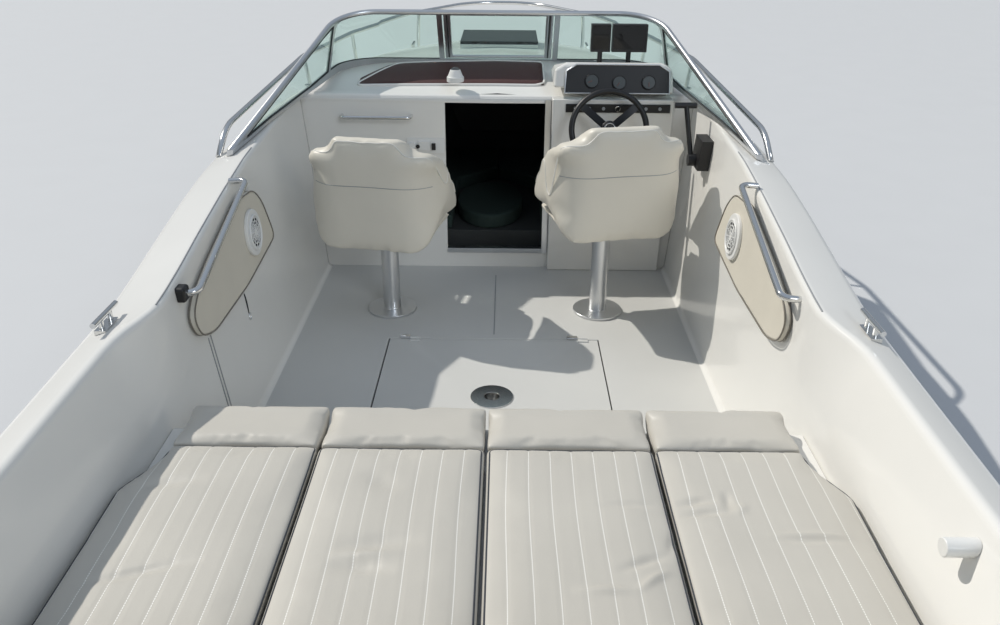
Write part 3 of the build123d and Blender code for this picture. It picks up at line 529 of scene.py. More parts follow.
# The row of sizes at y, by a smooth curve through rows of (y, sizes).
def smoothAt(rows, y):
    last = len(rows) - 2
    i = max([0] + [k for k in range(last + 1) if rows[k][0] <= y])
    (y1, b), (y2, c) = rows[i], rows[i + 1]
    y0, a = rows[max(0, i - 1)]
    y3, d = rows[min(last + 1, i + 2)]
    t = min(1, max(0, (y - y1) / (y2 - y1)))
    values = []
    for p, q, r, s in zip(a, b, c, d):
        slopeIn = (r - p) / max(1e-6, y2 - y0) * (y2 - y1)
        slopeOut = (s - q) / max(1e-6, y3 - y1) * (y2 - y1)
        values.append(q * (2 * t**3 - 3 * t**2 + 1) + slopeIn * (t**3 - 2 * t**2 + t) + r * (3 * t**2 - 2 * t**3)
                      + slopeOut * (t**3 - t**2))
    return values


def deckAt(y):
    return smoothAt(deckRows, y)


# Half-width of the cockpit between its walls, or None over their top.
def wallAt(y, z):
    hit = onSurface(wallTree, (0.3, y, z), (1, 0, 0))
    return hit.x if hit else None


# Place of the cockpit wall's top corner at y.
def wallTop(y):
    low, high = kneeSizes, 1.1
    for _ in range(14):
        middle = (low + high) / 2
        if wallAt(y, middle) is None or wallAt(y, middle) > 1.05:
            high = middle
        else:
            low = middle
    return wallAt(y, low - 1e-4), low


# Rail, edge, wall top, knee, foot and flange of the moulding at y, starboard.
def cockpitCorners(y):
    inside = min(max(y, aftWallY + 0.02), bulkheadY - 0.01)
    railX, railZ, edgeX, edgeZ = deckAt(y)[:4]
    topX, topZ = wallTop(inside)
    footX = wallAt(inside, floorZ + 0.002)
    corners = [(railX, railZ), (edgeX, edgeZ), (topX, topZ), (wallAt(inside, kneeSizes), kneeSizes), (footX, floorZ),
               (footX - mouldSizes["flange"], floorZ - 0.001)]
    return [(x, y, z) for x, z in corners]


# The line with evenly spaced points.
def resampled(line, count):
    lengths = [0]
    for a, b in zip(line, line[1:]):
        lengths.append(lengths[-1] + (Vector(b) - Vector(a)).length)
    points = []
    k = 0
    for i in range(count):
        want = lengths[-1] * i / (count - 1)
        while k < len(line) - 2 and lengths[k + 1] < want:
            k += 1
        share = (want - lengths[k]) / max(1e-9, lengths[k + 1] - lengths[k])
        points.append(Vector(line[k]).lerp(Vector(line[k + 1]), min(1, share)))
    return points


# Even places from low to high, no more than a step apart.
def spread(low, high, step):
    count = max(2, math.ceil(abs(high - low) / step) + 1)
    return [low + (high - low) * i / (count - 1) for i in range(count)]


# The moulding's k-th corner line round the boat's quarter.
def cornerPath(k, sideEnd, acrossStart, turn, count):
    side = cockpitCorners(sideEnd)[k]
    turnX = cockpitCorners(0.0)[k][0]
    crownX, crownZ = mouldSizes["crownHalf"], deckAt(0)[5]
    if k == 0:
        points, radii = [side, (turnX, 0, side[2]), (acrossStart, 0, side[2])], [turn]
    elif k == 1:
        points = [side, (turnX, 0, deckAt(0)[3]), (crownX, 0, crownZ), (acrossStart, 0, crownZ + 0.005)]
        radii = [turn, turn]
    else:
        y = aftWallY + (mouldSizes["flange"] if k == 5 else 0)
        z = crownZ + 0.002 if k == 2 else side[2]
        points, radii = [side, (turnX, y, z), (acrossStart, y, z + (0.005 if k == 2 else 0))], [0.15]
    return resampled(roundedLine(points, radii, 6), count)


# Rows of the moulding from the bulkhead aft, round the quarter and over to the middle.
def cockpitSkin():
    sideEnd, acrossStart = 0.36, 0.76
    frames = [cockpitCorners(y) for y in spread(bulkheadY + 0.02, sideEnd, mouldSizes["step"])]
    quarter = [cornerPath(k, sideEnd, acrossStart, 0.03 if k < 2 else 0.15, 17) for k in range(6)]
    frames += [[line[i] for line in quarter] for i in range(1, 17)]
    end = frames[-1]
    crown = deckAt(0)[6]
    for x in spread(acrossStart, 0, 0.1)[1:]:
        share = 1 - x / acrossStart
        row = []
        for k, (_, y, z) in enumerate(end):
            rise = (crown - z) * share if k in (1, 2) else 0
            row.append((x, y, z + rise))
        frames.append(row)
    radii = [mouldSizes["edge"], mouldSizes["top"], mouldSizes["knee"], mouldSizes["foot"]]
    return [roundedLine(row, radii, 5) for row in frames]


# Rows of the foredeck from the dash lip to the stem, rail to crown.
def foredeckSkin():
    rows = []
    firstX, firstZ = cockpitCorners(bulkheadY)[2][0], cockpitCorners(bulkheadY)[2][2]
    for y in spread(bulkheadY + 0.02, cadHigh.y, mouldSizes["step"]):
        railX, railZ, edgeX, edgeZ, ridgeX, ridgeZ, crownZ = deckAt(y)
        share = min(1, (y - bulkheadY - 0.02) / 0.3)
        share = share * share * (3 - 2 * share)
        ridge = (firstX + (ridgeX - firstX) * share, y, firstZ + (ridgeZ - firstZ) * share)
        camber = (ridge[0] * 0.55, y, ridge[2] + (crownZ - ridge[2]) * 0.75)
        line = [(railX, y, railZ), (edgeX, y, edgeZ), ridge, camber, (0, y, crownZ)]
        radii = [mouldSizes["edge"], mouldSizes["top"] + 0.05 * share, 0.25]
        rows.append(roundedLine(line, radii, 5))
    return rows


# Faces between rows of points, with their corners not yet merged.
def addRows(bm, rows):
    for a, b in zip(rows, rows[1:]):
        for a0, a1, b0, b1 in zip(a, a[1:], b, b[1:]):
            bm.faces.new([bm.verts.new(p) for p in (a0, a1, b1, b0)])


# Faces that close a row of points to one centre.
def capEnd(bm, row, centre):
    for a, b in zip(row, row[1:]):
        bm.faces.new([bm.verts.new(p) for p in (a, b, centre)])


# Merges a starboard half's corners and adds its port half.
def mirrorSkin(bm):
    bmesh.ops.remove_doubles(bm, verts=bm.verts, dist=1e-4)
    bmesh.ops.mirror(bm, geom=bm.verts[:] + bm.edges[:] + bm.faces[:], axis="X", merge_dist=1e-4)
    bmesh.ops.remove_doubles(bm, verts=bm.verts, dist=1e-4)
    bmesh.ops.recalc_face_normals(bm, faces=bm.faces)


# Takes out of the skin what lies within a box in plan, with clean edges.
def cutHole(bm, low, high):
    for axis in (0, 1):
        for side in (low, high):
            normal = Vector((0, 0, 0))
            normal[axis] = 1
            near = [f for f in bm.faces if f.normal.z > 0.5 and f.calc_center_median().y > low[1] - 0.3
                    and f.calc_center_median().y < high[1] + 0.3]
            geom = list({v for f in near for v in f.verts}) + list({e for f in near for e in f.edges}) + near
            bmesh.ops.bisect_plane(bm, geom=geom, dist=1e-6, plane_co=side, plane_no=normal)
    inside = [f for f in bm.faces if low[0] < f.calc_center_median().x < high[0]
              and low[1] < f.calc_center_median().y < high[1] and f.normal.z > 0.5]
    bmesh.ops.delete(bm, geom=inside, context="FACES")


def makeMoulding():
    bm = bmesh.new()
    addRows(bm, cockpitSkin())
    foredeck = foredeckSkin()
    addRows(bm, foredeck)
    stem = foredeck[-1]
    capEnd(bm, stem, (0, stem[0].y + 0.004, stem[0].z))
    lip = foredeck[0][7:]
    drops = [(0.0, 0.0), (-0.010, -0.002), (-0.017, -0.008), (-0.020, -0.018), (-0.0205, -0.030)]
    nose = [[(x, y + dy, z + dz) for x, y, z in lip] for dy, dz in drops]
    nose.append([(x, bulkheadY - 0.0005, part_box("cabin_bulkhead")[1].z - 0.002) for x, _, _ in lip])
    addRows(bm, nose)
    mirrorSkin(bm)
    top = max(bm.faces, key=lambda f: f.calc_center_median().z)
    if top.normal.z < 0:
        bmesh.ops.reverse_faces(bm, faces=bm.faces)
    hatchLow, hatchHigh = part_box("deck_hatch_frame")
    lap = mouldSizes["hatchLap"]
    low = Vector((hatchLow.x + lap, hatchLow.y + lap, 0))
    high = Vector((hatchHigh.x - lap, hatchLow.y + 2 * hatchHigh.x - lap, 0))
    cutHole(bm, low, high)
    obj = addWall(makeObject("moulding", bm, gelcoat, 50), mouldSizes["skin"], -1)
    return settle(obj, "root", ["deck", "cockpit_sides", "cockpit_aft_wall"])


moulding = makeMoulding()
print("moulding made", len(moulding.data.polygons))


# hull, floor and cabin


# Keel height, chine and rail at each frame, from the CAD hull's own points.
def hullRows():
    rows = []
    for y, _ in deckRows:
        near = [v.co for v in nodes["hull"].data.vertices if abs(v.co.y - y) < 5e-4 and v.co.x > -1e-5]
        rail = max(near, key=lambda p: p.x + p.z)
        keel = min(near, key=lambda p: p.z)
        out = Vector((rail.z - keel.z, keel.x - rail.x))
        chine = max(near, key=lambda p: (p.x - keel.x) * out.x + (p.z - keel.z) * out.y)
        rows.append((y, [keel.z, chine.x, chine.z, rail.x, rail.z]))
    return rows


# The hull's outside as one fair skin, from keel to rail, in navy over white.
def makeTopsides():
    frames = hullRows()
    rows = []
    for y in spread(frames[0][0], frames[-1][0], hullSizes["step"]):
        keelZ, chineX, chineZ, railX, railZ = smoothAt(frames, y)
        line = roundedLine([(0, y, keelZ), (chineX, y, chineZ), (railX, y, railZ)], [hullSizes["chine"]], 3)
        rows.append(line[:1] + [line[0].lerp(line[1], k / 6) for k in range(1, 6)] + line[1:-1]
                    + [line[-2].lerp(line[-1], k / 8) for k in range(1, 9)])
    bm = bmesh.new()
    addRows(bm, rows)
    capEnd(bm, rows[-1], (0, rows[-1][0].y + 0.003, (rows[-1][0].z + rows[-1][-1].z) / 2))
    mirrorSkin(bm)
    keel = min(bm.faces, key=lambda f: f.calc_center_median().z)
    if keel.normal.z > 0:
        bmesh.ops.reverse_faces(bm, faces=bm.faces)
    tree = BVHTree.FromBMesh(bm)
    settle(addWall(makeObject("hull_skin", bm, hullPaint, 30), hullSizes["wall"], -1), "root")
    return tree


# The CAD hull without what its skin hides: its inside, its transom and its cabin walls.
def makeHull(skinTree):
    bm = cadCopy("hull")
    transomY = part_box("swim_platform")[1].y + 0.01
    for face in bm.faces:
        centre, normal = face.calc_center_median(), face.normal
        outward = normal.x * centre.x > 0.15 * abs(centre.x) or centre.y > 5.7 or normal.z < -0.3
        if centre.y < transomY and normal.y < -0.9:
            outward = True
        if abs(centre.x) < 0.5 and abs(normal.x) > 0.99:
            outward = False
        face.material_index = 0 if outward else (2 if centre.y > bulkheadY + 0.02 else 1)
    hidden = [f for f in bm.faces if f.material_index == 0 and f.normal.y > -0.9
              and skinTree.find_nearest(f.calc_center_median())[3] < hullSizes["hidden"]]
    bmesh.ops.delete(bm, geom=hidden, context="FACES")
    mesh = meshOf("hull_piece", bm)
    for material in (hullPaint, gelcoat, cabinLiner):
        mesh.materials.append(material)
    shade(mesh, 28)
    settle(addBevel(addObject("hull_piece", mesh), 0.003, 2, 40), "root", ["hull"])


# The cabin's dark cloth, on the underside of the foredeck.
def cabinLining():
    bm = cadCopy("deck")
    out = [f for f in bm.faces if f.calc_center_median().y < bulkheadY + 0.026 or not (
        f.normal.z < -0.05 or f.normal.x * f.calc_center_median().x < -0.02) or abs(f.normal.x) > 0.999
        or f.normal.y < -0.9]
    bmesh.ops.delete(bm, geom=out, context="FACES")
    for vert in bm.verts:
        vert.co.z -= 0.004
    mesh = meshOf("cabin_lining", bm)
    shade(mesh, 40)
    settle(addWall(addObject("cabin_lining", mesh, cabinLiner), 0.003, 1), "root")


# The sole and its hatch, with a seal round the hatch and a joint down the middle.
def makeFloor():
    dress("cockpit_floor", nonSlip, 0.003, 2, name="cockpit_sole")
    dress("floor_hatch", nonSlip, 0.004, 3, name="sole_hatch")
    low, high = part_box("floor_hatch")
    seal = [(low.x - 0.003, low.y - 0.003), (high.x + 0.003, low.y - 0.003), (high.x + 0.003, high.y - 0.002),
            (low.x - 0.003, high.y - 0.002)]
    z = floorZ - 0.006
    line = tubeAlong("hatch_seal", [(x, y, z) for x, y in seal], 0.0028, rubber, cyclic=True, sides=2, smooth=False)
    settle(asMesh(line), "root")
    groove = box3(-0.0025, 0.0025, high.y + 0.04, bulkheadY - 0.12, floorZ - 0.0006, floorZ + 0.0006)
    settle(makeObject("sole_joint", groove, railGrey), "root")


# A box between pairs of places along each axis.
def box3(x0, x1, y0, y1, z0, z1):
    bm = bmesh.new()
    made = bmesh.ops.create_cube(bm, size=1)
    for vert in made["verts"]:
        vert.co = Vector((x0 if vert.co.x < 0 else x1, y0 if vert.co.y < 0 else y1, z0 if vert.co.z < 0 else z1))
    return bm


# A box from its lowest to its highest corner with rounded edges.
def roundBox(name, low, high, material, bevel=0.004, segments=3):
    return addBevel(makeObject(name, box3(low[0], high[0], low[1], high[1], low[2], high[2]), material), bevel,
                    segments)


# A short cylinder with rounded rims, its foot at the centre given.
def disc(name, centre, axis, radius, thickness, material, bevel=0.0015, sides=48):
    bm = bmesh.new()
    bmesh.ops.create_cone(bm, cap_ends=True, segments=sides, radius1=radius, radius2=radius, depth=thickness)
    shift = Matrix.Translation(Vector(centre) + Vector(axis).normalized() * thickness / 2)
    bmesh.ops.transform(bm, matrix=shift @ turnTo(axis).to_4x4(), verts=bm.verts)
    return addBevel(makeObject(name, bm, material), bevel, 2, 40)


# A round wire bent to a full circle.
def ring(name, centre, axis, radius, wire, material, sides=48):
    turn = turnTo(axis)
    points = [Vector(centre) + turn @ Vector((radius * math.cos(a), radius * math.sin(a), 0))
              for a in (math.tau * i / sides for i in range(sides))]
    return tubeAlong(name, points, wire, material, cyclic=True, sides=3)


makeHull(makeTopsides())
cabinLining()
makeFloor()
plain = [
    # node, material, slot, bevel, segments
    ("rub_rail", railGrey, "rub_rail_grey", 0.006, 3),
    ("benches", gelcoat, "gelcoat_white", 0.006, 3),
    ("engine_box_front", gelcoat, "gelcoat_white", 0.005, 3),
    ("engine_lid", gelcoat, "gelcoat_white", 0.004, 3),
    ("engine", enginePaint, "engine_paint", 0.02, 4),
    ("cabin_bulkhead", gelcoat, "gelcoat_white", 0.004, 3),
    ("cabin_door", smoked, "smoked_acrylic", 0.001, 2),
    ("door_track", aluminium, "aluminium", 0.0012, 2),
    ("helm_console", gelcoat, "gelcoat_white", 0.014, 4),
    ("helm_pod", gelcoat, "gelcoat_white", 0.014, 4),
    ("deck_hatch", smoked, "smoked_acrylic", 0.004, 3),
    ("deck_hatch_frame", aluminium, "aluminium", 0.003, 3),
    ("swim_platform", gelcoat, "gelcoat_white", 0.016, 4),
    ("transom_shield", drivePaint, "drive_paint", 0.008, 3),
    ("gimbal_ring", drivePaint, "drive_paint", 0.005, 3),
    ("drive_leg", drivePaint, "drive_paint", 0.006, 3),
    ("propeller", stainless, "stainless", 0.001, 2),
    ("berth_base", cabinLiner, "cabin_liner", 0.004, 2),
    ("berth_cushions", cabinCloth, "cabin_fabric", 0.022, 4),
    ("table_socket", stainless, "stainless", 0.001, 2),
    ("seat_pedestals", aluminium, "aluminium", 0.0025, 3),
    ("seat_swivel_port", aluminium, "aluminium", 0.003, 3),
    ("seat_swivel_starboard", aluminium, "aluminium", 0.003, 3),
    ("hinge_leaves", stainless, "stainless", 0.0008, 2),
    ("cleats", stainless, "stainless", 0.002, 2),
    ("mooring_eyes", stainless, "stainless", 0.0, 2),
    ("hand_rails", stainless, "stainless", 0.0, 2),
    ("bow_rail", stainless, "stainless", 0.0, 2),
    ("windscreen_frame", aluminium, "aluminium", 0.0015, 2),
    ("glass_centre", screenGlass, "screen_glass", 0.0, 1),
    ("glass_corners", screenGlass, "screen_glass", 0.0, 1),
    ("glass_wings", screenGlass, "screen_glass", 0.0, 1),
    ("shower_stub", whitePlastic, "white_plastic", 0.003, 3),
    ("throttle_control", blackPlastic, "black_plastic", 0.003, 3),
]
for nodeName, material, slotName, width, segments in plain:
    dress(nodeName, material, width, segments)
print("plain pieces made")


# upholstery: cloth blown up inside each CAD cushion's own space


# The solids of a node as separate meshes, port to starboard and aft to forward.
def looseParts(nodeName):
    bm = cadCopy(nodeName)
    parts = []
    left = set(bm.verts)
    while left:
        stack = [left.pop()]
        island = set(stack)
        while stack:
            vert = stack.pop()
            for edge in vert.link_edges:
                other = edge.other_vert(vert)
                if other not in island:
                    island.add(other)
                    stack.append(other)
        left -= island
        part = bm.copy()
        part.verts.ensure_lookup_table()
        bm.verts.index_update()
        keep = {v.index for v in island}
        bmesh.ops.delete(part, geom=[v for v in part.verts if v.index not in keep], context="VERTS")
        parts.append(part)
    bm.free()

    def order(part):
        xs = [v.co.x for v in part.verts]
        ys = [v.co.y for v in part.verts]
        return (round(sum(ys) / len(ys), 1), sum(xs) / len(xs))

    return sorted(parts, key=order)


# Draws a part in from its sides by margin, and its top down by crown.
def shrink(bm, margin, crown):
    for axis in (0, 1):
        values = [v.co[axis] for v in bm.verts]
        middle, half = (min(values) + max(values)) / 2, (max(values) - min(values)) / 2
        for vert in bm.verts:
            vert.co[axis] = middle + (vert.co[axis] - middle) * (half - margin) / half
    values = [v.co.z for v in bm.verts]
    foot, height = min(values), max(values) - min(values)
    for vert in bm.verts:
        vert.co.z = foot + (vert.co.z - foot) * (height - crown) / height


def smoothed(obj, rounds):
    bm = bmeshOf(obj.data)
    for _ in range(rounds):
        bmesh.ops.smooth_vert(bm, verts=bm.verts, factor=0.5, use_axis_x=True, use_axis_y=True, use_axis_z=True)
    bm.to_mesh(obj.data)
    bm.free()


clothSizes = {"frames": 20, "quality": 4, "stiffness": 25, "bending": 1.5, "quickShare": 0.5}


# Cloth over the shape, blown up by pressure, no point further than cap from where it began.
def inflated(name, bm, material, voxel, cap, foot, pressure=4.0, rounds=3):
    obj = makeObject(name, bm, material)
    remesh = obj.modifiers.new("remesh", "REMESH")
    remesh.mode = "VOXEL"
    remesh.voxel_size = voxel
    applyModifiers(obj)
    smoothed(obj, rounds)
    start = [v.co.copy() for v in obj.data.vertices]
    cloth = obj.modifiers.new("cloth", "CLOTH")
    cloth.settings.quality = clothSizes["quality"]
    cloth.settings.use_pressure = True
    cloth.settings.uniform_pressure_force = pressure
    cloth.settings.tension_stiffness = clothSizes["stiffness"]
    cloth.settings.compression_stiffness = clothSizes["stiffness"]
    cloth.settings.bending_stiffness = clothSizes["bending"]
    cloth.settings.effector_weights.gravity = 0
    cloth.collision_settings.use_collision = False
    cloth.point_cache.frame_start = 1
    cloth.point_cache.frame_end = clothSizes["frames"]
    for number in range(1, clothSizes["frames"] + 1):
        bpy.context.scene.frame_set(number)
    applyModifiers(obj)
    bpy.context.scene.frame_set(1)
    for vert, before in zip(obj.data.vertices, start):
        moved = vert.co - before
        if moved.length > cap:
            vert.co = before + moved * cap / moved.length
        vert.co.z = max(vert.co.z, foot)
    obj.data.polygons.foreach_set("use_smooth", [True] * len(obj.data.polygons))
    return obj


# Stretches a soft piece along each axis, to fill its CAD solid's box less a gap.
def fitTo(obj, low, high, gap):
    for axis in range(3):
        values = [v.co[axis] for v in obj.data.vertices]
        least, most = min(values), max(values)
        start = low[axis] + (gap if axis < 2 else 0.0005)
        end = high[axis] - gap
        for vert in obj.data.vertices:
            vert.co[axis] = start + (vert.co[axis] - least) * (end - start) / (most - least)
    obj.data.update()


# Brings a soft piece's rounded sides, near its top, out towards its box.
def squared(obj, low, high, reach=0.05, push=0.007):
    for vert in obj.data.vertices:
        lift = min(1, max(0, (vert.co.z - high.z + 0.06) / 0.03))
        for axis in (0, 1):
            for end, sign in ((low[axis], -1), (high[axis], 1)):
                gap = (end - vert.co[axis]) * sign
                if 0 <= gap < reach:
                    vert.co[axis] += sign * lift * min(gap, push) * (1 - gap / reach)
    obj.data.update()


# Lowest and highest corner of a bmesh.
def partBox(part):
    low = Vector([min(v.co[i] for v in part.verts) for i in range(3)])
    high = Vector([max(v.co[i] for v in part.verts) for i in range(3)])
    return low, high


# How far a crease from start to end, in plan, presses a place in.
def creaseDepth(place, start, end, width, depth):
    a, b = Vector(start), Vector(end)
    run = b - a
    share = (place - a).dot(run) / run.length_squared
    off = (place - (a + run * min(1, max(0, share)))).length
    fade = min(1, max(0, 1.15 - abs(share - 0.5) * 2))
    return depth * fade * math.exp(-((off / width) ** 2))


creaseSizes = [
    # start (x, y), end (x, y), half-width, depth (a ridge where negative), metres
    ((0.30, 0.66), (0.42, 0.72), 0.012, 0.006),
    ((0.42, 0.72), (0.44, 0.80), 0.010, 0.004),
    ((0.20, 0.60), (0.33, 0.60), 0.011, -0.005),
    ((0.33, 0.60), (0.41, 0.67), 0.010, -0.006),
    ((0.28, 0.88), (0.42, 0.89), 0.010, 0.003),
    ((0.47, 0.90), (0.56, 0.905), 0.012, 0.007),
    ((0.47, 0.86), (0.585, 0.86), 0.010, 0.006),
    ((0.585, 0.86), (0.595, 0.94), 0.011, 0.006),
    ((0.60, 0.85), (0.63, 0.89), 0.012, -0.004),
    ((0.66, 0.78), (0.84, 0.78), 0.010, -0.004),
    ((0.66, 0.765), (0.84, 0.765), 0.010, 0.003),
    ((-0.32, 0.735), (-0.14, 0.755), 0.024, 0.006),
    ((-0.33, 0.67), (-0.19, 0.655), 0.020, 0.006),
    ((-0.33, 0.70), (-0.18, 0.705), 0.014, -0.004),
    ((-0.85, 0.60), (-0.62, 0.68), 0.014, 0.005),
    ((-0.86, 0.93), (-0.70, 0.97), 0.018, 0.004),
    ((-0.30, 1.0), (-0.21, 0.93), 0.03, 0.004),
    ((0.10, 0.50), (0.30, 0.45), 0.02, 0.004),
]
padSizes = {
    "voxel": 0.0115, "bolsterVoxel": 0.0105, "margin": 0.006, "crown": 0.012, "bolsterCrown": 0.006, "cap": 0.0105,
    "gap": 0.0012, "groove": 0.0013, "grooveHalf": 0.004, "creases": 1.5, "topDepth": 0.035,
}
pipingSizes = {"radius": 0.0026, "sunk": 0.0008, "step": 0.02, "least": 0.009, "out": 0.006}


# Presses the stitched lines and the creases into a pad's top.
def sewTop(obj, topZ, sewn):
    for vert in obj.data.vertices:
        if vert.co.z < topZ - padSizes["topDepth"]:
            continue
        place = Vector((vert.co.x, vert.co.y))
        press = padSizes["creases"] * sum(creaseDepth(place, *crease) for crease in creaseSizes)
        if sewn:
            press += padSizes["groove"] * math.exp(-((stitchPlace(place.x, place.y) / padSizes["grooveHalf"]) ** 2))
        vert.co.z -= press
    obj.data.update()


# The ordered rim of the faces that point up, moved out from the middle, as plan points.
def topLoop(bm):
    bm.normal_update()
    chosen = {f for f in bm.faces if f.normal.z > 0.95}
    rim = [e for e in bm.edges if sum(f in chosen for f in e.link_faces) == 1]
    links = {}
    for edge in rim:
        for vert in edge.verts:
            links.setdefault(vert, []).append(edge.other_vert(vert))
    start = min(links, key=lambda v: (v.co.x, v.co.y))
    loop, before, here = [start], None, start
    while True:
        onward = [v for v in links[here] if v is not before and v not in loop[1:]]
        if not onward or (onward[0] is start and len(loop) > 2):
            break
        before, here = here, onward[0]
        loop.append(here)
    points = [Vector((v.co.x, v.co.y)) for v in loop]
    area = sum(a.x * b.y - b.x * a.y for a, b in zip(points, points[1:] + points[:1]))
    if area < 0:
        points.reverse()
    moved = []
    for i, point in enumerate(points):
        run = (points[(i + 1) % len(points)] - points[i - 1]).normalized()
        moved.append(point + Vector((run.y, -run.x)) * pipingSizes["out"])
    return moved


# A near-black piping laid on a soft piece along a closed plan line, partly real piping and partly painted shade of the
# gap beside it.
def pipingRound(name, obj, loop):
    tree = treeOf(obj.data)
    line = []
    for a, b in zip(loop, loop[1:] + loop[:1]):
        count = max(1, round((b - a).length / pipingSizes["step"]))
        line += [a.lerp(b, i / count) for i in range(count)]
    points = []
    for hit in hitsOf(tree, [(place.x, place.y, 3) for place in line], (0, 0, -1)):
        point = hit - Vector((0, 0, pipingSizes["sunk"]))
        if not points or (point - points[-1]).length > pipingSizes["least"]:
            points.append(point)
    return asMesh(tubeAlong(name, points, pipingSizes["radius"], darkGapShadePiping, cyclic=True, sides=2))


# Lifts a bolster's forward part to the top of its row, with its slope kept aft.
def raiseBolster(part, low, top):
    for vert in part.verts:
        if vert.co.y > low.y + 0.02:
            vert.co.z += max(0, min(vert.co.z - top + 0.06, top - 0.003 - vert.co.z)) * 1.4


# The sun pads with their stitching, creases and piping, and the bolsters ahead of them.
def makePads():
    for nodeName in ("sun_pads_centre", "sun_pads_outer"):
        foot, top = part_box(nodeName)[0].z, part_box(nodeName)[1].z
        for i, part in enumerate(looseParts(nodeName)):
            long = max(v.co.y for v in part.verts) - min(v.co.y for v in part.verts) > 0.5
            name = nodeName.replace("sun_pads_", "sun_") + ("_pad_" if long else "_bolster_") + str(i % 2 + 1)
            low, high = partBox(part)
            if long:
                loop = topLoop(part)
            else:
                raiseBolster(part, low, top)
            shrink(part, padSizes["margin"], padSizes["crown"] if long else padSizes["bolsterCrown"])
            obj = inflated(name, part, padVinyl, padSizes["voxel"] if long else padSizes["bolsterVoxel"],
                           padSizes["cap"], foot + 0.0005)
            fitTo(obj, low, high, padSizes["gap"])
            squared(obj, low, high)
            subdivided(obj)
            sewTop(obj, top, long)
            settle(obj, bodyOf[nodeName], [nodeName])
            if long:
                settle(pipingRound(name + "_piping", obj, loop), bodyOf[nodeName])


makePads()
print("pads made")


# bucket seats


# Where a joint of the record sits.
def jointPlace(name):
    for joint in frame["record"]["behaviour"]["joints"]:
        if joint["name"] == name:
            return Vector(joint["pos_m"])


seatSizes = {
    "half": 0.31, "aft": -0.245, "front": 0.16, "corner": 0.19, "turn": {"port": -10, "starboard": 12},
    "seam": 0.285, "seamHalf": 0.255, "seamDip": 0.006, "voxel": 0.0135, "cap": 0.010, "gap": 0.001, "ears": 0.060,
    "piping": 0.0035, "thread": 0.0016,
}
cushionSizes = {"voxel": 0.0125, "cap": 0.012, "margin": 0.006, "crown": 0.010, "gap": 0.003}


# The bucket's outline in plan, from its port arm round the back to its starboard arm.
def seatPlan(inset):
    half, aft = seatSizes["half"] - inset, seatSizes["aft"] + inset
    corners = [(-half, seatSizes["front"], 0), (-half, aft, 0), (half, aft, 0), (half, seatSizes["front"], 0)]
    line = roundedLine(corners, [seatSizes["corner"]] * 2, 10)
    return resampled(line, 60)


# the shell's half-width against height: in the CAD, and as upholstered, metres
seatWidths = [(0, 0.120, 0.190), (0.035, 0.210, 0.262), (0.130, 0.285, 0.300), (0.260, 0.312, 0.312),
               (0.340, 0.300, 0.300), (0.395, 0.235, 0.288), (0.424, 0.222, 0.262), (0.438, 0.216, 0.182),
               (0.465, 0.205, 0.174), (0.490, 0.150, 0.150)]


# The linear value at a place in rows of (place, value).
def between(value, rows):
    for (a, va), (b, vb) in zip(rows, rows[1:]):
        if value <= b:
            return va + (vb - va) * max(0, value - a) / (b - a)
    return rows[-1][1]


# Fills the shell out to the upholstery's outline: a headrest above its shoulders, and deeper ears.
def swellSeat(shell, place, foot):
    inverse = place.inverted()
    for height in [row[0] for row in seatWidths[1:-1]] + [0.20]:
        bmesh.ops.bisect_plane(shell, geom=shell.verts[:] + shell.edges[:] + shell.faces[:],
                               plane_co=(0, 0, foot + height), plane_no=(0, 0, 1))
    ratios = [(z, wide / cad) for z, cad, wide in seatWidths]
    ears = [(-0.16, 0), (-0.02, 1), (0.07, 1), (0.16, 0)]
    for vert in shell.verts:
        local = inverse @ vert.co
        height = vert.co.z - foot
        local.x *= between(height, ratios)
        if 0.15 < height < 0.36:
            local.z += seatSizes["ears"] * between(local.y, ears)
        vert.co = place @ local


# A bucket and its cushion on their own swivel, with the rim's pale piping, partly painted highlight, and the back's
# seam.
def makeSeat(side):
    nodeName, cushionName = "seat_" + side, "seat_cushion_" + side
    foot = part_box(nodeName)[0].z
    body = bodyOf[nodeName]
    centre = jointPlace(nodeName + "_swivel")
    place = (Matrix.Translation((centre.x, centre.y, 0))
             @ Matrix.Rotation(math.radians(seatSizes["turn"][side]), 4, "Z"))
    shell = cadCopy(nodeName)
    low, high = partBox(shell)
    swellSeat(shell, place, foot)
    bucket = inflated(side + "_bucket", shell, seatVinyl, seatSizes["voxel"], seatSizes["cap"], foot + 0.0005, 3.0, 9)
    fitTo(bucket, low, high, seatSizes["gap"])
    smoothed(bucket, 3)
    subdivided(bucket)
    settle(bucket, body, [nodeName])
    cushion = cadCopy(cushionName)
    low, high = partBox(cushion)
    shrink(cushion, cushionSizes["margin"], cushionSizes["crown"])
    pad = inflated(side + "_seat_pad", cushion, seatVinyl, cushionSizes["voxel"], cushionSizes["cap"],
                   low.z + 0.0005, 5.0, 4)
    fitTo(pad, low, high, cushionSizes["gap"])
    subdivided(pad)
    settle(pad, body, [cushionName])

    tree = treeOf(bucket.data)
    above = [place @ Vector((point.x, point.y, 3)) for point in seatPlan(0.016)]
    rim = [hit - Vector((0, 0, 0.001)) for hit in hitsOf(tree, above, (0, 0, -1))]
    # rim piping in a paler colour than the vinyl: partly painted highlight
    lines = [tubeAlong(side + "_rim_piping", rim, seatSizes["piping"], highlightPalePiping, sides=2)]
    behind = [place @ Vector((x, -1, foot + seatSizes["seam"] + seatSizes["seamDip"] * math.cos(math.pi * x / 0.5)))
              for x in spread(-seatSizes["seamHalf"], seatSizes["seamHalf"], 0.02)]
    seam = hitsOf(tree, behind, place.to_3x3() @ Vector((0, 1, 0)))
    lines.append(tubeAlong(side + "_back_seam", seam, seatSizes["thread"], railGrey, sides=2))
    settle(joined(side + "_seat_trim", lines), body)


for side in ("port", "starboard"):
    makeSeat(side)
print("seats made")


# helm: pod, dials, wheel and displays


